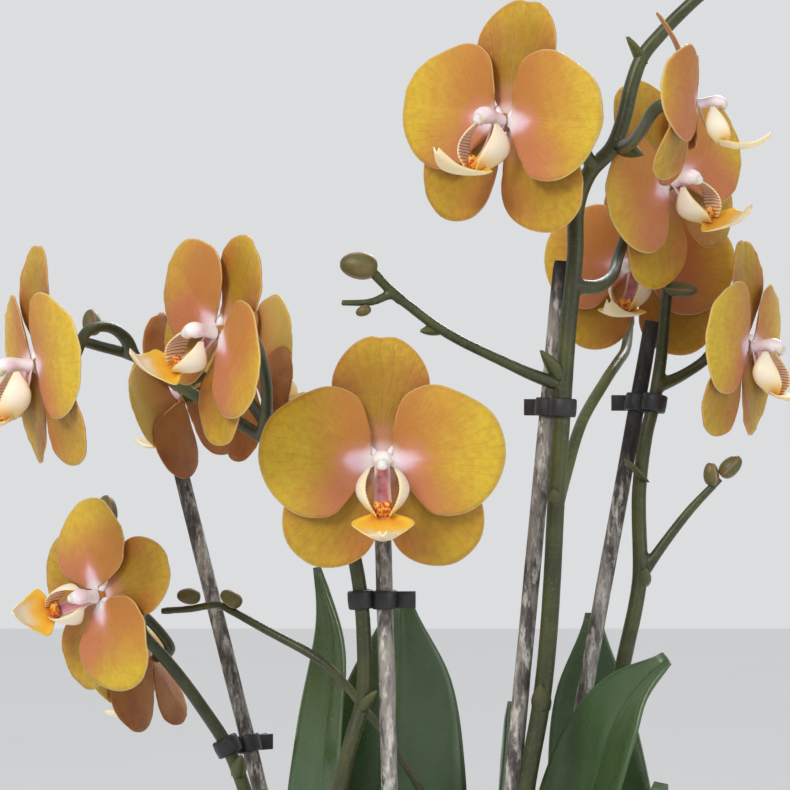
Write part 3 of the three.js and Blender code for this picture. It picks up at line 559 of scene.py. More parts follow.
def cane_material():
    """Weathered cane: silver grey with chalky and black mottling along its length, and painted shade turning
    it near black over its top.
    """
    r = Recipe("cane", 0.8, Specular_IOR_Level=0.3)
    long = r.stretched(1, 1, 0.3)
    patch = r.noise(190, 6, 0.68, long)
    grey = r.mix(r.span(patch, 0.38, 0.58), (0.07, 0.062, 0.056), (0.27, 0.25, 0.225))
    chalk = r.mix(r.span(r.noise(420, 5, 0.7, long), 0.48, 0.64), grey, (0.52, 0.49, 0.45))
    dark = r.mix(r.span(r.noise(60, 5, 0.7, long), 0.54, 0.64, 0.0, 0.85), chalk, (0.03, 0.027, 0.026))
    # Painted shade: from the share held in the w value up, the cane's top goes near black.
    edge = r.math("MULTIPLY_ADD", patch, 0.06, r.math("SUBTRACT", r.u, r.w))
    top = r.mix(r.span(edge, 0.0, 0.05, 0.0, 0.92), dark, (0.02, 0.019, 0.02))
    r.color(top)
    r.bump(r.math("ADD", patch, r.noise(900, 4, 0.7, long)), 0.0005, 0.7)
    return r.material


def clip_material():
    """Clip: black moulded plastic with dust in its grain."""
    r = Recipe("clip", 0.5, Specular_IOR_Level=0.5)
    r.color(r.mix(r.span(r.noise(220, 4), 0.5, 0.75, 0.0, 0.5), (0.012, 0.012, 0.014), (0.06, 0.06, 0.065)))
    r.rough(r.span(r.noise(400, 3), 0.3, 0.7, 0.38, 0.62))
    r.bump(r.noise(1300, 2), 0.0001, 0.4)
    return r.material


def bark_material():
    """Bark chips: red brown to grey brown, layered along the chip."""
    r = Recipe("bark", 0.85, Specular_IOR_Level=0.25)
    layers = r.noise(330, 5, 0.7, r.stretched(1, 1, 2.6))
    wood = r.mix(r.span(layers, 0.36, 0.64), (0.045, 0.022, 0.012), (0.2, 0.1, 0.05))
    r.color(r.mix(r.span(r.v, 0.0, 1.0, 0.0, 0.5, smooth=False), wood, (0.3, 0.2, 0.12)))
    r.bump(layers, 0.0011, 0.9)
    return r.material


def pot_material():
    """Pot: satin off-white glaze with faint throwing lines and small specks."""
    r = Recipe("pot", 0.3, Specular_IOR_Level=0.5, Coat_Weight=0.35, Coat_Roughness=0.18)
    tone = r.mix(r.span(r.noise(16, 3), 0.35, 0.7), (0.66, 0.62, 0.55), (0.72, 0.69, 0.63))
    specks = r.span(r.noise(520, 2), 0.7, 0.74, 0.0, 0.55)
    r.color(r.mix(specks, tone, (0.28, 0.22, 0.16)))
    r.rough(r.span(r.noise(60, 4), 0.3, 0.7, 0.24, 0.4))
    r.bump(r.noise(90, 3, 0.5, r.stretched(0.2, 0.2, 3)), 0.0004, 0.4)
    return r.material


PETAL = petal_material()
SEPAL = sepal_material()
LIP = lip_material()
SIDE_LOBE = lobe_material()
COLUMN = column_material()
CALLUS = callus_material()
THROAT = throat_material()
STEM = stem_material("stem", (0.022, 0.027, 0.004), (0.055, 0.062, 0.01), (0.1, 0.1, 0.025))
PALE_STEM = stem_material("pale_stem", (0.075, 0.095, 0.03), (0.125, 0.145, 0.055), (0.19, 0.205, 0.1))
BUD = bud_material()
LEAF = leaf_material()
CROWN = crown_material()
CANE = cane_material()
CLIP = clip_material()
BARK = bark_material()
POT = pot_material()


# Blooms: the same named dimensions as the solids, in millimetres. Local axes: x to the bloom's
# right as seen from its front, z up, -y towards whoever looks at it.
PETAL_OUTLINE = [
    (4.6, -4), (9.6, -9.8), (15.5, -16), (26, -16), (34.8, -8.6), (38.4, 2.5),
    (35, 14), (25.5, 20.8), (15.5, 23.8), (7, 20), (3.2, 9),
]
PETAL_CLAW = ((3.7, -1.8), (3.5, 2.4))
SEPAL_HALF_OUTLINE = [(4.2, 5.1), (9, 11.5), (13.6, 17.5), (15.2, 25), (12, 33), (5, 38.6)]
SEPAL_OUTLINE = SEPAL_HALF_OUTLINE + [(-x, z) for x, z in reversed(SEPAL_HALF_OUTLINE)]
SEPAL_CLAW = ((2.4, 3.7), (-2.4, 3.7))
CLAW_ROOT = 0.8
TEPAL_REACH = 38.4
SEPAL_TURN = 137
TEPAL_THICKNESS = 0.8
LIP_THICKNESS = 0.9
HUB_RADIUS = 3
HUB_DEPTH = 2.4
FIT_GAP = 0.35

COLUMN_PATH = [(0, -2.75, 0.2), (0, -8, 1.2), (0, -12.5, 0.8), (0, -14, -1.2)]
COLUMN_RADIUS = [2.5, 2.3, 2.9, 1.8]
CLAW_PATH = [(0, -3.4, -1.2), (0, -6, -9), (0, -12, -16.8)]
CLAW_HALF = [2.4, 2.6, 3.2]
MIDLOBE_LENGTH = 22
MIDLOBE_HALF = [2.6, 9.4, 7.6, 5, 3, 1]
LOBE_OUT = [2, 4.4, 5.8, 5.4, 3.6]
LOBE_HALF = [2.2, 4.6, 4.6, 3, 1]
LOBE_TURN = 1.3
LOBE_SHIFT = 0.7

BLOOM_SHAPE = dict(size=1, swell=2, reflex=2.5, wave=0.5, phase=0, curl=2.5, close=0, droop=4, blush=0)
BLOOMS = [
    dict(at=(20.5, -12, 490.5), yaw=-38, pitch=-2, roll=8, reflex=-2, wave=0.9, phase=0.6, droop=2,
         blush=0.1),
    dict(at=(-18, -16, 384), yaw=0, pitch=0, roll=-1, size=1.01, droop=24),
    dict(at=(-67.5, -32, 424), yaw=-57, pitch=0, roll=40, size=0.88, reflex=-4, curl=-2, phase=1.1,
         droop=-6, blush=0.32),
    dict(at=(-61, 42, 413), yaw=122, pitch=4, roll=35, size=0.78, reflex=4, phase=0.3),
    dict(at=(-86.5, 58, 404), yaw=-125, pitch=12, roll=18, size=0.76, reflex=4, phase=0.8),
    dict(at=(77, 38, 475.5), yaw=42, pitch=-2, roll=-28, size=0.92, reflex=-3, phase=0.5, blush=0.3),
    dict(at=(76, -42, 493), yaw=82, pitch=0, roll=0, size=0.72, reflex=13, curl=13, phase=0.2, blush=0.45),
    dict(at=(70, 80, 449), yaw=-22, pitch=2, roll=4, size=0.9, phase=0.9, blush=0.3),
    dict(at=(-112, 40, 338), yaw=-45, pitch=0, roll=68, size=0.86, phase=0.4, blush=0.15),
    dict(at=(-100, 92, 312), yaw=-118, pitch=25, roll=0, size=0.75, close=18),
    dict(at=(-124, -26, 414), yaw=-65, pitch=6, roll=0, size=0.95, phase=0.7),
    dict(at=(104, 50, 421), yaw=62, pitch=4, roll=0, size=0.92, phase=0.1),
]


def bloom_place(bloom):
    turn = Matrix.Rotation(np.radians(bloom["yaw"]), 4, "Z")
    turn = turn @ Matrix.Rotation(np.radians(bloom["pitch"]), 4, "X")
    turn = turn @ Matrix.Rotation(np.radians(bloom["roll"]), 4, "Y")
    return Matrix.Translation(Vector(bloom["at"]) * MM) @ turn @ Matrix.Scale(bloom["size"], 4)


def outline_curve(points):
    return Curve([(x, 0, z) for x, z in points])


petal_curve = outline_curve(PETAL_OUTLINE)
sepal_curve = outline_curve(SEPAL_OUTLINE)


def on_tepal(claw, curve, u, v):
    """A point of a tepal's plane, from its root in the hub (u = -1) by its claw (0) to its edge (1)."""
    (x0, z0), (x1, z1) = claw
    base = np.array([x0 + (x1 - x0) * v, 0, z0 + (z1 - z0) * v])
    if u >= 0:
        return base + (curve.at(v) - base) * u
    root = base * CLAW_ROOT / np.linalg.norm(base)
    return base + (root - base) * -u


def ripple(x, z, seed, size=11.0):
    """A gentle unevenness of living tissue, in -1 to 1."""
    return noise.noise(Vector((x / size, z / size, seed)))


def draw_in(point, bloom):
    """A tepal's point drawn forward round the hub, as when the bloom is partly closed."""
    angle = np.radians(bloom["close"])
    x, y, z = point
    return x * np.cos(angle), y - np.hypot(x, z) * np.sin(angle), z * np.cos(angle)


def petal(shape, bloom, side):
    seed = 3.1 * bloom["number"] + side

    def surface(s, v):
        u = 1.7 * s - 0.7
        point = on_tepal(PETAL_CLAW, petal_curve, u, v)
        x, z = point[0], point[2]
        reach = np.hypot(x, z) / (TEPAL_REACH + 2)
        swell = bloom["swell"] * np.sin(np.pi * min(reach, 1))
        sweep = bloom["reflex"] * (x / TEPAL_REACH) ** 2
        edge = max(u, 0) ** 2
        wave = bloom["wave"] * edge * np.sin(np.pi * (3 * v + bloom["phase"] + 0.3 * side))
        line = np.exp(-(((z - 2.4 - 0.04 * x) / 1.6) ** 2))
        crease = 0.5 * line * min(max(u, 0) * 1.6, 1) * (1 - 0.5 * edge)
        uneven = 0.55 * ripple(x, z, seed) * min(max(u, 0) * 2, 1)
        uneven += 0.5 * edge**3 * ripple(x, z, seed + 9, 4.0)
        y = -1 - swell + sweep + wave + crease + uneven
        return draw_in((side * x, y, z), bloom), (reach, v, x / TEPAL_REACH - bloom["blush"], max(u, 0))

    flip = surface if side > 0 else (lambda s, v: surface(s, 1 - v))
    shape.blade(flip, 26, 56, TEPAL_THICKNESS / bloom["size"])


def sepal(shape, bloom, turn):
    angle = np.radians(turn)
    seed = 5.7 * bloom["number"] + turn

    def surface(s, v):
        u = 1.7 * s - 0.7
        point = on_tepal(SEPAL_CLAW, sepal_curve, u, v)
        x, z = point[0], point[2]
        back = bloom["curl"] * (z / TEPAL_REACH) ** 2
        trough = 1.2 * (x / 15) ** 2
        edge = max(u, 0) ** 2
        crease = 0.45 * np.exp(-((x / 1.4) ** 2)) * min(max(u, 0) * 1.6, 1) * (1 - 0.6 * edge)
        uneven = 0.5 * ripple(x, z, seed) * min(max(u, 0) * 2, 1)
        uneven += 0.5 * edge**3 * ripple(x, z, seed + 9, 4.0)
        y = 1 + back - trough + crease + uneven
        if turn == 0:
            z -= 1.1 * max(u, 0) ** 14 * np.exp(-(((x - 1) / 1.6) ** 2))
        place = (x * np.cos(angle) + z * np.sin(angle), y, -x * np.sin(angle) + z * np.cos(angle))
        return draw_in(place, bloom), (np.hypot(x, z) / (TEPAL_REACH + 2), v, abs(x) / 15, max(u, 0))

    shape.blade(surface, 26, 44, TEPAL_THICKNESS / bloom["size"], slots=(1, 1))


def tepals_piece(bloom):
    shape = Shape()
    shape.egg((0, 0, 0), HUB_RADIUS, 2 * HUB_DEPTH, (0, 1, 0))
    for side in (1, -1):
        shape.egg((2.5 * side, 0, 2.3), 1.5, 6.6, (0.5 * side, 0, 0.87), slot=2)
    for turn in (0, SEPAL_TURN, -SEPAL_TURN):
        sepal(shape, bloom, turn)
    for side in (1, -1):
        petal(shape, bloom, side)
    return shape.build(f"{bloom['name']}_tepals_fine", [PETAL, SEPAL, COLUMN], bloom_place(bloom))


def ribbon(shape, points, half, hollow, rows, strips, slots):
    curve = Curve(points)

    def surface(u, v):
        wide = (2 * v - 1) * smooth_stops(half, u)
        point = curve.along(u) + np.array([wide, 0, hollow * (2 * v - 1) ** 2])
        return point, (u, v, abs(2 * v - 1), 0)

    shape.blade(surface, rows, strips, LIP_THICKNESS, slots=slots)


def side_lobe(shape, side):
    def surface(u, v):
        forward = 12.5 - 3.5 * u + (2 * v - 1) * smooth_stops(LOBE_HALF, u)
        turn = (LOBE_SHIFT + LOBE_TURN * (1 - 2 * v)) * np.sin(np.pi * u)
        bow = 0.8 * (1 - (2 * v - 1) ** 2) * np.sin(np.pi * u)
        out = smooth_stops(LOBE_OUT, u) + turn + bow
        return (side * out, -forward, -16.4 + 15.4 * u), (u, v, abs(2 * v - 1), 0)

    flip = surface if side > 0 else (lambda u, v: surface(u, 1 - v))
    shape.blade(flip, 18, 12, LIP_THICKNESS, slots=(1, 1))


def mid_lobe(shape, bloom):
    angle = np.radians(bloom["droop"])

    def at(t):
        reach = t * MIDLOBE_LENGTH
        lift = 4.5 * t**4 - 1.5 * np.sin(np.pi * t)
        return (
            0,
            -11 - reach * np.cos(angle) - lift * np.sin(angle),
            -16.4 - reach * np.sin(angle) + lift * np.cos(angle),
        )

    ribbon(shape, [at(t) for t in (0, 0.35, 0.7, 1)], MIDLOBE_HALF, 1.5, 26, 16, (0, 0))


def lip_piece(bloom):
    shape = Shape()
    column = Curve(COLUMN_PATH)
    shape.tube(
        column, lambda t, a: smooth_stops(COLUMN_RADIUS, t) * (1 + 0.06 * np.cos(2 * a)), sides=18, steps=22,
        values=lambda t, a: (t, a, 0, 0, 1), slot=2,
    )
    ribbon(shape, CLAW_PATH, CLAW_HALF, 0.4, 14, 8, (4, 4))
    side_lobe(shape, 1)
    side_lobe(shape, -1)
    mid_lobe(shape, bloom)
    for side in (1, -1):
        shape.egg((1.2 * side, -11.8, -14), 1.9, 5.6, (0.22 * side, -0.5, 0.87), slot=3)
    shape.egg((0, -13.7, -0.3), 2.0, 3.6, (0, -0.75, -0.65), value=(0, 0, 1, 0, 1), slot=2)
    materials = [LIP, SIDE_LOBE, COLUMN, CALLUS, THROAT]
    return shape.build(f"{bloom['name']}_lip_fine", materials, bloom_place(bloom))


# Stakes: straight canes from the bark to their cut tops
STAKE_RADIUS = 2.8
STAKE_FOOT = 40
# Share of each cane's length above which it is painted near black: painted shade, longest on stake b, whose
# top stands in shadow behind the blooms.
SHADED_TOP_FROM = {"a": 0.975, "b": 0.87, "d": 0.985, "g": 0.97}
STAKES = {
    "a": ((8, 16, 110), (40.2, 18, 448.5)),
    "b": ((13.4, 38, 110), (73.5, 62, 430)),
    "d": ((-11.4, 10, 110), (-18, 12, 366)),
    "g": ((-19.3, 56, 110), (-90, 92, 381.5)),
}


def stake_at(key, height):
    low, top = (np.array(p, float) for p in STAKES[key])
    return low + (top - low) * (height - low[2]) / (top[2] - low[2])


def cane_piece(key):
    top = np.array(STAKES[key][1], float)
    foot = stake_at(key, STAKE_FOOT)
    line = Curve([foot, (foot + top) / 2, top])
    seed = ord(key)

    def radius(t, a):
        lump = noise.noise(Vector((np.cos(a) * 0.8, np.sin(a) * 0.8, t * 22 + seed)))
        end = 1 - 0.12 * max(0, (t - 0.994) / 0.006)
        return (STAKE_RADIUS - 0.12 + 0.14 * lump) * end

    shape = Shape()
    shape.tube(line, radius, sides=22, steps=170, values=lambda t, a: (t, a, SHADED_TOP_FROM[key], 0, 1))
    return shape.build(f"stake_{key}_fine", [CANE])


# Spikes: the same routes as the solids
SPIKES = {
    "a": (
        [(20, 17, 116), (18.5, 11.5, 140), (19.5, 10.5, 170), (22, 10.5, 205), (24.6, 11.3, 240),
            (28.3, 12, 277.5), (33.1, 12, 305), (35.4, 12, 326), (36.7, 12, 345.3), (38, 12, 371),
            (39.9, 12, 398.5), (41.8, 12, 426), (44.1, 12, 450.2), (44.9, 14, 466.5), (49.1, 15, 477.2),
            (56.3, 15, 485), (60.1, 15, 494.7), (62.4, 15, 504.4), (66, 15, 514.4), (71.8, 15, 521.6),
            (78.6, 15, 528.7), (86.2, 13, 535.2), (95.5, 10, 539.3)],
        [3.3, 3.1, 3, 3, 2.9, 2.8, 2.6, 2],
    ),
    "b": (
        [(24, 22, 116), (26, 34, 135), (29, 44, 152), (33, 50, 175), (41, 53, 210), (49.5, 53, 250),
            (57.5, 50, 290), (63.4, 49, 318.5), (67, 50, 334.7), (68.4, 51, 344.4), (68.3, 53, 372.3),
            (70.7, 54, 391.2), (73.5, 55, 402.3), (76.3, 56, 419.9), (77.2, 56, 430.4), (78, 55, 441)],
        [3.1, 2.9, 2.8, 2.7, 2.5, 2],
    ),
    "d": (
        [(-24, 23, 116), (-31, 21, 138), (-35.5, 16, 180), (-37.4, 11, 224), (-36.2, 10, 256),
            (-32, 10, 277.8), (-27.8, 10, 294.2), (-24.3, 11, 306.7), (-24, 12, 325.9),
            (-25.3, 12, 342.1), (-27.2, 12, 353), (-30.1, 12, 364), (-36.6, 12, 376.3),
            (-44.7, 12, 385.3), (-56.8, 10, 391.5), (-71.8, 11, 401), (-82.4, 11, 407.5),
            (-90.9, 9, 413.6), (-99.6, 7, 418.1), (-108.9, 8, 420.7), (-117, 14, 423), (-125, 26, 427)],
        [3.1, 2.8, 2.7, 2.6, 2.3, 2, 1.7],
    ),
    "g": (
        [(-30, 45, 116), (-35, 52, 136), (-42, 58, 165), (-52, 64, 218), (-60.5, 69, 250),
            (-65.6, 71, 269.1), (-71.8, 72, 284.3), (-80, 72, 297), (-87.8, 70, 308.2),
            (-93.8, 68, 315.9), (-101.2, 66, 324.7), (-108.5, 66, 337), (-112, 70, 349),
            (-113, 74, 360)],
        [3, 2.8, 2.7, 2.5, 2.2, 1.8],
    ),
}
BRANCHES = {
    "left": [(38.6, 12, 408.5), (29.4, 8, 411.8), (19.6, 4, 416.2), (5.1, 0, 423.2), (-2.9, -2, 428.2),
        (-10.8, -4, 434.2), (-15, -4, 436.7), (-21.3, -5, 434.5), (-31, -6, 434.1)],
    "pale": [(38, 13, 367), (41.8, 24, 378.9), (48, 38, 396), (57, 52, 410), (62, 66, 416),
        (66, 80, 421), (68, 92, 430), (69, 97, 440)],
    "low": [(24, 11.3, 231), (19, 7.5, 238), (12, 9, 247), (4, 18, 259), (-5.4, 32, 274.7),
        (-13, 33, 287.1), (-21.6, 34, 298.2), (-34.5, 36, 313.6), (-41.5, 38, 318.7), (-57.4, 44, 326.8),
        (-68.8, 50, 332.4), (-73.3, 52, 334.3), (-83.2, 54, 332.8), (-93, 55, 332)],
    "right": [(68, 51, 342.5), (74.2, 51, 351.8), (84.9, 50, 366), (95, 48, 377)],
}


VOXEL = 0.55


def fused(shape, name, material):
    """Overlapping stems grown together into one skin."""
    raw = shape.build(name, [material])
    remesh = raw.modifiers.new("fuse", "REMESH")
    remesh.mode = "VOXEL"
    remesh.voxel_size = VOXEL * MM
    remesh.use_smooth_shade = True
    even = raw.modifiers.new("even", "SMOOTH")
    even.factor = 0.5
    even.iterations = 5
    view = bpy.context.evaluated_depsgraph_get()
    mesh = bpy.data.meshes.new_from_object(raw.evaluated_get(view))
    old = raw.data
    raw.modifiers.clear()
    raw.data = mesh
    bpy.data.meshes.remove(old)
    mesh.name = name
    mesh.materials.clear()
    mesh.materials.append(material)
    return raw


def behind(bloom, distance):
    """The point in millimetres at a distance behind a bloom's hub."""
    place = bloom_place({**bloom, "size": 1})
    return np.array(place @ Vector((0, distance * MM, 0))) / MM


def add_bract(shape, foot, direction, out, length, width):
    """A short pointed scale that hugs the stem at its foot."""
    along, lift = unit(direction), unit(out)
    side = unit(np.cross(along, lift))
    half = [0.42, 0.52, 0.5, 0.34, 0.04]

    def surface(u, v):
        wide = (2 * v - 1) * smooth_stops(half, u) * width
        hug = 0.55 * width * (2 * v - 1) ** 2 * (1 - 0.6 * u)
        point = np.array(foot) + along * u * length + side * wide + lift * (0.2 * length * u * u - hug)
        return point, (u, v, 0.6 * u, 0)

    shape.blade(surface, 12, 10, 0.8)


# Clips: a band round the spike and a band round its stake, with a bridge and finger tabs
CLIP_HEIGHT = 6
CLIP_WALL = 1.3
CLIPS = {
    "a": dict(z=401, at=(40.1, 12, 401), lean=(0.07, 0, 1), radius=3),
    "b": dict(z=402.3, at=(73.5, 55, 402.3), lean=(0.2, 0.07, 1), radius=2.8),
    "d": dict(z=339, at=(-25, 12, 339), lean=(-0.08, 0, 1), radius=2.75),
    "g": dict(z=284.3, at=(-71.6, 72, 284.3), lean=(-0.5, 0.02, 1), radius=3.1),
}


def add_band(shape, centre, axis, inner, wall, height):
    """A closed band with a slightly crowned outside."""
    way = unit(axis)
    side = unit(np.cross(way, (0, 1, 0)))
    up = np.cross(way, side)
    h = height / 2
    section = [
        (inner, -h + 0.3), (inner + 0.3, -h), (inner + wall - 0.35, -h), (inner + wall, -h + 0.45),
        (inner + wall + 0.12, 0), (inner + wall, h - 0.45), (inner + wall - 0.35, h), (inner + 0.3, h),
            (inner, h - 0.3),
    ]
    around = 44
    rings = []
    for k in range(around):
        turn = 2 * np.pi * k / around
        spoke = side * np.cos(turn) + up * np.sin(turn)
        rings.append([np.array(centre) + spoke * r + way * z for r, z in section])
    values = [[NO_VALUE] * len(section)] * around
    shape.grid(rings, values, closed=True, looped=True)


def add_plate(shape, centre, axes, halves):
    """A flat plate with its edges along three axes."""
    x, y, z = (unit(a) for a in axes)
    start = len(shape.points)
    for sx in (-1, 1):
        for sy in (-1, 1):
            for sz in (-1, 1):
                p = np.array(centre) + x * sx * halves[0] + y * sy * halves[1] + z * sz * halves[2]
                shape.points.append(tuple(p))
                shape.values.append(NO_VALUE)
    for face in ((0, 1, 3, 2), (4, 6, 7, 5), (0, 4, 5, 1), (2, 3, 7, 6), (0, 2, 6, 4), (1, 5, 7, 3)):
        shape.faces.append(tuple(start + k for k in face))
        shape.slots.append(0)


def clip_piece(key):
    clip = CLIPS[key]
    stem_centre = np.array(clip["at"], float)
    stake_centre = stake_at(key, clip["z"])
    stake_axis = stake_at(key, 300) - stake_at(key, 200)
    across = stem_centre - stake_centre
    reach = np.linalg.norm(across[:2])
    way = np.array([across[0], across[1], 0]) / reach
    side = np.cross((0, 0, 1), way)
    middle = (stem_centre + stake_centre) / 2
    gap = reach - clip["radius"] - STAKE_RADIUS
    shape = Shape()
    add_band(shape, stem_centre, clip["lean"], clip["radius"] + 0.15, CLIP_WALL, CLIP_HEIGHT)
    add_band(shape, stake_centre, stake_axis, STAKE_RADIUS + 0.15, CLIP_WALL, CLIP_HEIGHT)
    if gap > 0.6:
        add_plate(shape, middle, (way, side, (0, 0, 1)), (gap / 2 + 0.6, CLIP_WALL, CLIP_HEIGHT / 2 - 0.3))
    tab = stake_centre - way * (STAKE_RADIUS + 4)
    for turn, spread in ((0.22, 0.9), (-0.22, -0.9)):
        lean = way * np.cos(turn) + side * np.sin(turn)
        add_plate(shape, tab - side * spread, (lean, np.cross((0, 0, 1), lean), (0, 0, 1)), (3.2, 0.45, 2.7))
    piece = shape.build(f"clip_{key}_fine", [CLIP])
    soften = piece.modifiers.new("soften", "BEVEL")
    soften.width = 0.25 * MM
    soften.segments = 2
    soften.limit_method = "ANGLE"
    return piece


# Leaves: the same midribs as the solids
LEAF_THICKNESS = 2
LEAF_HALF = [0.14, 0.5, 0.8, 0.95, 1, 0.96, 0.84, 0.6, 0.12]
LEAVES = [
    dict(
        route=[(-34, 37, 117), (-38, 41, 190), (-39.5, 44, 250), (-37, 50, 290), (-34.5, 53, 322),
            (-40, 54, 347)],
        across=((0.5, -0.87, 0), (0.5, -0.87, 0)), width=36, fold=-4,
    ),
    dict(
        route=[(-19.5, 31.5, 117), (-16.5, 50, 180), (-16.6, 62, 255), (-12.5, 68, 305), (-12, 72, 336)],
        across=((1, 0, 0), (0.98, -0.1, 0)), width=58, fold=4,
    ),
    dict(
        route=[(30.7, 17, 122), (38, 20, 180), (46, 25, 255), (61, 18, 305), (74, 12, 320)],
        across=((-0.2, -1, 0), (0.78, -0.62, 0.1)), width=44, fold=-7,
    ),
    dict(
        route=[(30.3, 22.5, 118), (45, 33, 142), (58, 47, 168), (63, 66, 205), (60, 86, 250),
            (56, 98, 295), (56, 100, 328)],
        across=((0.45, -0.9, 0), (0.95, -0.2, 0)), width=44, fold=-4,
    ),
    dict(
        route=[(27, 12, 118), (41, -4, 165), (56, -13, 220), (66, -14, 262), (70, -11, 283)],
        across=((0.9, 0.4, 0), (0.8, 0.6, 0)), width=44, fold=5,
    ),
    dict(
        route=[(15.8, 23, 117), (11, 29, 150), (13, 42, 195), (20, 53, 240), (23, 58, 275), (25, 60, 301)],
        across=((-0.5, -0.86, 0), (0.3, -0.95, 0)), width=26, fold=2,
    ),
    dict(
        route=[(-30, 21, 113), (-50, 21, 148), (-98, 20, 184), (-138, 26, 178), (-157, 20, 160)],
        across=((0.1, -1, 0), (0.1, -1, 0)), width=54, fold=7,
    ),
    dict(
        route=[(30.5, 15, 114), (70, 14, 150), (104, 20, 168), (138, 24, 160), (154, 26, 142)],
        across=((0, 1, 0), (-0.1, 1, 0)), width=56, fold=-7,
    ),
    dict(
        route=[(-23, 16, 116), (-28.5, -18, 153), (-42, -64, 170), (-54, -102, 160), (-60, -120, 142)],
        across=((1, 0, 0), (1, -0.3, 0)), width=48, fold=7,
    ),
]


def leaf_piece(number, route, across, width, fold):
    curve = Curve(route)
    low, high = (np.array(a, float) for a in across)

    def surface(u, v):
        way = curve.tangent(u)
        wide = low + (high - low) * u
        wide = unit(wide - way * wide.dot(way))
        up = np.cross(way, wide)
        reach = 2 * v - 1
        share = smooth_stops(LEAF_HALF, u)
        lift = fold * share * abs(reach) ** 1.5
        groove = -0.8 * np.exp(-((reach / 0.09) ** 2)) * np.sign(fold) * min(u * 8, 1) * (1 - u) ** 0.3
        wave = 0.7 * noise.noise(Vector((u * 7, reach * 1.6, number * 3.3))) * share
        point = curve.along(u) + wide * reach * 0.5 * width * share + up * (lift + groove + wave)
        return point, (u, v, abs(reach), 0)

    shape = Shape()
    shape.blade(surface, 64, 28, LEAF_THICKNESS)
    return shape.build(f"leaf_{number}_fine", [LEAF])


# Pot: a plain tapered vessel with a stepped, rounded rim
POT_HEIGHT = 125
POT_TOP_RADIUS = 75
POT_BASE_RADIUS = 56
POT_WALL = 5
POT_FLOOR = 7
RIM_HEIGHT = 14
RIM_STEP = 2.5


def pot_piece():
    profile = [(0, 0), (POT_BASE_RADIUS - 1.4, 0), (POT_BASE_RADIUS - 0.4, 0.4), (POT_BASE_RADIUS, 1.5)]
    low = POT_HEIGHT - RIM_HEIGHT
    shoulder = POT_TOP_RADIUS - RIM_STEP - 1
    for k in range(1, 13):
        profile.append((POT_BASE_RADIUS + (shoulder - POT_BASE_RADIUS) * k / 12, 1.5 + (low - 1.5) * k / 12))
    profile += [(POT_TOP_RADIUS - 1.2, low), (POT_TOP_RADIUS - 0.3, low + 0.4), (POT_TOP_RADIUS, low + 1.2)]
    lip = POT_WALL / 2
    centre = (POT_TOP_RADIUS - lip, POT_HEIGHT - lip)
    profile += [(centre[0] + lip * np.cos(a), centre[1] + lip * np.sin(a)) for a in np.linspace(0, np.pi, 11)]
    inner = [(POT_TOP_RADIUS - POT_WALL, POT_HEIGHT - lip - 1), (POT_BASE_RADIUS - POT_WALL, POT_FLOOR)]
    profile += [(inner[0][0] + (inner[1][0] - inner[0][0]) * t, inner[0][1] + (inner[1][1] - inner[0][1]) * t)
                for t in np.linspace(0, 1, 8)]
    profile.append((0, POT_FLOOR))
    around = 160
    turns = np.linspace(0, 2 * np.pi, around, endpoint=False)
    rings = [[(r * np.cos(a), r * np.sin(a), z) for a in turns] for r, z in profile[1:-1]]
    shape = Shape()
    shape.barrel(rings, [[NO_VALUE] * around] * len(rings))
    return shape.build("pot_fine", [POT])


# Bark: loose chips in relief on the medium
MEDIUM_TOP = 108
CHIP_SPREAD = 66


def bark_chips():
    shape = Shape()
    standing = [stake_at(key, MEDIUM_TOP)[:2] for key in STAKES]
    standing += [np.array(c, float) for c in CROWNS.values()]
    count = 260
    for k in range(count):
        reach = CHIP_SPREAD * np.sqrt((k + 0.5) / count)
        turn = k * np.radians(137.5)
        spot = np.array([reach * np.cos(turn), reach * np.sin(turn)]) + rng.uniform(-2, 2, 2)
        if min(np.linalg.norm(spot - s) for s in standing) < 12 or np.linalg.norm(spot) > CHIP_SPREAD:
            continue
        half = np.array([rng.uniform(4, 8.5), rng.uniform(2.6, 5), rng.uniform(1.2, 2.6)])
        turn = Euler((rng.uniform(-0.5, 0.5), rng.uniform(-0.4, 0.4), rng.uniform(0, 6.28))).to_matrix()
        if np.linalg.norm(spot) + half[0] > CHIP_SPREAD + 2:
            half[:2] *= 0.7
        centre = Vector((*spot, MEDIUM_TOP + rng.uniform(2.0, 4.6)))
        add_chip(shape, centre, half, turn, k)
    ride_along(shape.build("bark_chips", [BARK]))


def add_chip(shape, centre, half, turn, seed):
    """A torn chip: a rounded block with a lumpy outline."""
    rows, sides = 5, 12
    tone = float(rng.uniform(0, 1))
    rings = []
    for i in range(rows):
        z = 2 * i / (rows - 1) - 1
        pull = 1 - 0.22 * abs(z) ** 3
        ring = []
        for k in range(sides):
            a = 2 * np.pi * k / sides
            c, s = np.cos(a), np.sin(a)
            square = 1 / max(abs(c), abs(s)) ** 0.75
            lump = 1 + 0.24 * noise.noise(Vector((c * 1.3, s * 1.3, seed * 1.7 + z * 0.6)))
            p = Vector((half[0] * c * square * pull * lump, half[1] * s * square * pull * lump, half[2] * z))
            p.z += 0.5 * noise.noise(Vector((p.x * 0.3, p.y * 0.3, seed)))
            ring.append(turn @ p + centre)
        rings.append(ring)
    shape.barrel(rings, [[(0, tone, 0, 0, 0)] * sides] * rows)


CROWNS = {"right": (23, 19), "left": (-22, 24), "back": (-28, 42)}


PEDICEL_RADIUS = 1.9
TIP_STEM = [1.8, 1.5, 1.5]
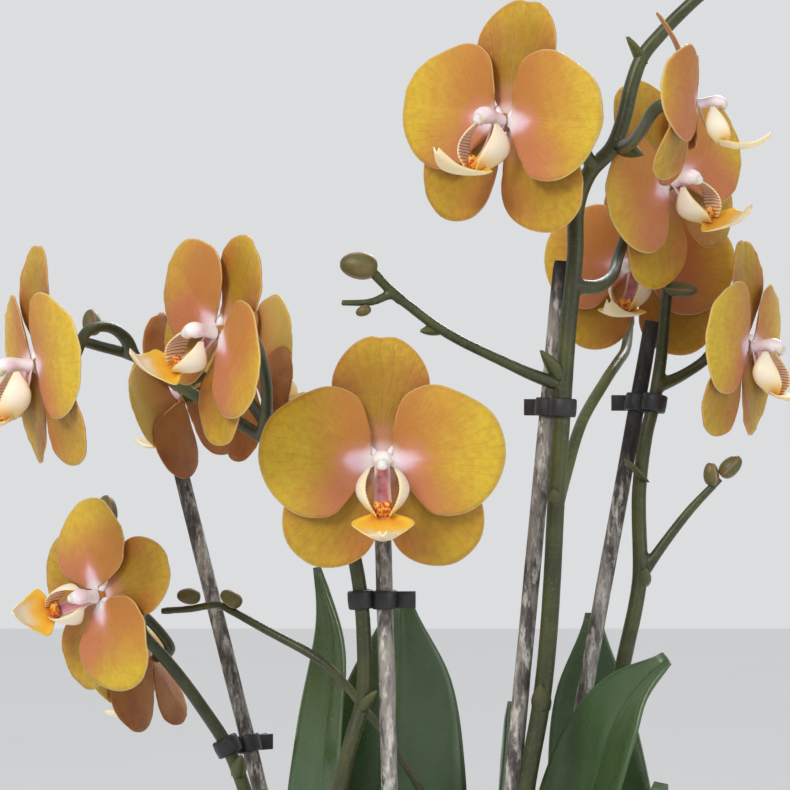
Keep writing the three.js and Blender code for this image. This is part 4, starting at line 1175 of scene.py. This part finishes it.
# What grows on each spike. Stems: route, radii. Pedicels: bloom, start of the route, radius.
# Buds: centre, radius, length, direction. Bracts: foot, direction, outward, length, width.
GROWTH = {
    "a": dict(
        stems=[
            (BRANCHES["left"], [2.3, 1.8, 1.7, 1.6, 1]),
            ([(-12, -4, 435), (-17.8, -4, 440.5), (-21, -4, 444)], [1.9, 1.6, 1.8]),
            (BRANCHES["low"], [1.9, 1.6, 1.5, 1.6, 1.2]),
            ([(86, 13, 535), (90, 12, 543), (93, 10, 548)], TIP_STEM),
        ],
        pedicels=[
            (1, [(50, 14.5, 479), (44, 10, 487)]),
            (6, [(44.5, 12, 440), (51, 16, 440), (57, 26, 444), (61, 40, 453)], 2),
            (7, [(59.5, 12, 485), (60, 4, 485), (61, -6, 485), (62.5, -22, 487)], 2),
        ],
        buds=[
            ((-25.5, -4, 446), 4.3, 12, (-1, 0, 0.12)),
            ((-24, -6.4, 431.6), 1.7, 5, (-1, 0, -0.4)),
            ((-83.5, 52.5, 337.2), 2.7, 8, (-1, 0, 0.1)),
            ((-69, 49, 336.6), 2.7, 8, (-0.8, 0, 0.5)),
            ((101, 9, 541), 3.8, 12, (1, -0.1, 0.25)),
            ((95.5, 9.5, 552), 4.2, 12, (0.5, -0.1, 1)),
        ],
        bracts=[
            ((38.5, 9.5, 409.5), (-0.5, -0.1, 1), (-0.6, -1, 0), 11, 5),
            ((1, -1.5, 425), (-1, 0, 0.1), (0, -1, -0.5), 7, 4),
            ((33.5, 9.4, 303), (-0.1, -0.1, 1), (0, -1, 0), 9, 6),
            ((57.5, 12.4, 485.5), (1, -0.1, -0.35), (0, -1, -0.2), 9, 5),
            ((64.4, 14.5, 512), (-0.25, -0.1, 1), (-1, -0.5, 0), 9, 5),
            ((38.6, 10, 369), (-0.3, -0.2, 1), (0, -1, 0), 6, 5),
        ],
    ),
    "b": dict(
        stems=[(BRANCHES["right"], [2.1, 1.8, 1.6, 1.3])],
        pedicels=[(12, [(75, 55.3, 408), (82, 57, 411), (90, 57.5, 416)])],
        buds=[
            ((98.5, 47.3, 381), 3, 9, (0.7, -0.1, 0.7)),
            ((92, 47, 378.5), 2.6, 8, (-0.1, -0.1, 1)),
            ((74.6, 52, 445), 2.5, 8, (-1, -0.2, 0.2)),
            ((82.5, 52.5, 440.5), 2.7, 11, (1, -0.2, -0.1)),
        ],
        bracts=[
            ((68.3, 51.5, 376), (-0.5, -0.3, 1), (-1, -0.3, 0), 9, 5),
            ((69, 48.5, 341), (0.2, -0.1, 1), (0, -1, 0), 6, 5),
        ],
    ),
    "d": dict(
        stems=[],
        pedicels=[
            (2, [(-31, 12, 366), (-25.5, 7.5, 378)]),
            (3, [(-56.8, 10, 391.5), (-55, 2, 400), (-55, -10, 412)]),
            (4, [(-54, 10.5, 390.5), (-56.5, 19, 396), (-65, 32, 407)]),
            (5, [(-82, 11, 407.5), (-80, 22, 410), (-77, 34, 411)]),
            (11, [(-98, 7, 417.3), (-100, 2, 423), (-104.5, -5, 426.5), (-110.5, -13, 425)]),
        ],
        buds=[((-129, 31, 430), 3.8, 12, (-0.6, 0.6, 0.4)), ((-112, 14, 428.5), 3, 9, (-0.2, 0.5, 1))],
        bracts=[((-24.2, 8.4, 303), (0.5, -0.1, 1), (0.6, -1, 0), 8, 4)],
    ),
    "g": dict(
        stems=[],
        pedicels=[
            (9, [(-106, 66, 332), (-104, 58, 336)]),
            (10, [(-101, 66, 324.7), (-102, 72, 330)]),
        ],
        buds=[((-113.3, 75.5, 365), 3.5, 11, (-0.1, 0.2, 1))],
        bracts=[((-67.5, 68, 274), (0.1, -0.1, 1), (0.2, -1, 0), 8, 5)],
    ),
}


def add_stem(shape, route, radii):
    curve = Curve(route)
    steps = max(6, int(curve.lengths[-1] / 1.2))
    shape.tube(curve, lambda t, a: smooth_stops(radii, t), sides=14, steps=steps)


def add_pedicel(shape, number, route, radius=PEDICEL_RADIUS):
    """A flower's own stalk, up to just behind its hub."""
    bloom = {**BLOOM_SHAPE, **BLOOMS[number - 1]}
    end = HUB_DEPTH * bloom["size"] + FIT_GAP
    line = [*route, behind(bloom, end + 7), behind(bloom, end)]
    add_stem(shape, line, [radius + 0.5, radius, radius, radius + 0.3])


def spike_pieces(key):
    """One spike: its fused stems, its buds and its bracts."""
    route, radii = SPIKES[key]
    growth = GROWTH[key]
    shape, buds, bracts = Shape(), Shape(), Shape()
    shape.tube(Curve(route), lambda t, a: smooth_stops(radii, t), sides=16)
    for stem in growth["stems"]:
        add_stem(shape, *stem)
    for pedicel in growth["pedicels"]:
        add_pedicel(shape, *pedicel)
    for bud in growth["buds"]:
        buds.egg(*bud, rows=22, sides=30, ridge=0.05)
    for bract in growth["bracts"]:
        add_bract(bracts, *bract)
    stems = fused(shape, f"spike_{key}_stems", STEM)
    return stems, buds.build(f"spike_{key}_buds", [BUD]), bracts.build(f"spike_{key}_bracts", [STEM])


def pale_branch():
    shape = Shape()
    add_stem(shape, BRANCHES["pale"], [2.1, 2, 1.9, 1.9])
    add_pedicel(shape, 8, [(68, 92, 430), (69, 97, 440)], 1.7)
    return fused(shape, "spike_a_branch", PALE_STEM)


def ride_along(piece):
    """A piece of the scene's own that rides on the plant and stands for no node."""
    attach(piece, "root")


# The fine plant, piece by piece
for number, entry in enumerate(BLOOMS, 1):
    bloom = {**BLOOM_SHAPE, **entry, "number": number, "name": f"bloom_{number:02d}"}
    dress(tepals_piece(bloom), "tepal", f"{bloom['name']}_tepals")
    dress(lip_piece(bloom), "lip", f"{bloom['name']}_lip")

for key in SPIKES:
    stems, *extras = spike_pieces(key)
    dress(stems, "stem", f"spike_{key}")
    if key == "a":
        extras.append(pale_branch())
    for piece in extras:
        ride_along(piece)

for number, shape in enumerate(LEAVES, 1):
    dress(leaf_piece(number, **shape), "leaf", f"leaf_{number}")

for key in STAKES:
    dress(cane_piece(key), "cane", f"stake_{key}")
    dress(clip_piece(key), "clip", f"clip_{key}")

dress(pot_piece(), "pot", "pot")
bark_chips()
for piece in list(bpy.context.scene.objects):
    if piece.type != "MESH":
        continue
    for part, material in (("bark_medium", BARK), ("crown_", CROWN)):
        if piece.name.startswith(part):
            piece.data.materials.clear()
            piece.data.materials.append(material)


# The studio: a plain pale floor and soft light
FLOOR = Recipe("floor", 0.7)
FLOOR.color(FLOOR.mix(FLOOR.noise(3, 3), (0.8, 0.8, 0.8), (0.83, 0.83, 0.83)))
floor_mesh = bpy.data.meshes.new("floor")
REACH = 4
corners = [(-REACH, -REACH, 0), (REACH, -REACH, 0), (REACH, REACH, 0), (-REACH, REACH, 0)]
floor_mesh.from_pydata(corners, [], [(0, 1, 2, 3)])
floor_mesh.materials.append(FLOOR.material)
floor = add_object("floor", floor_mesh)

SKY_COLOR = (0.97, 0.98, 1, 1)
SKY_STRENGTH = 0.74
world = bpy.data.worlds.new("studio")
world.use_nodes = True
world.node_tree.nodes["Background"].inputs["Color"].default_value = SKY_COLOR
world.node_tree.nodes["Background"].inputs["Strength"].default_value = SKY_STRENGTH
bpy.context.scene.world = world
bpy.context.scene.view_settings.view_transform = "Standard"


AIM = Vector((0, 0, 0.35))


def area_light(name, at, size, power, tint=(1, 1, 1)):
    """A soft round lamp that looks at the plant."""
    data = bpy.data.lights.new(name, "AREA")
    data.shape = "DISK"
    data.size = size
    data.energy = power
    data.color = tint
    light = add_object(name, data)
    light.location = at
    light.rotation_euler = (AIM - Vector(at)).to_track_quat("-Z", "Y").to_euler()


area_light("key", (-0.8, -1.2, 1.3), 0.6, 17, (1, 0.97, 0.92))
area_light("fill", (1.0, -0.9, 0.7), 0.8, 3, (0.95, 0.97, 1))
area_light("rim", (0.3, 1.0, 1.1), 0.6, 10)
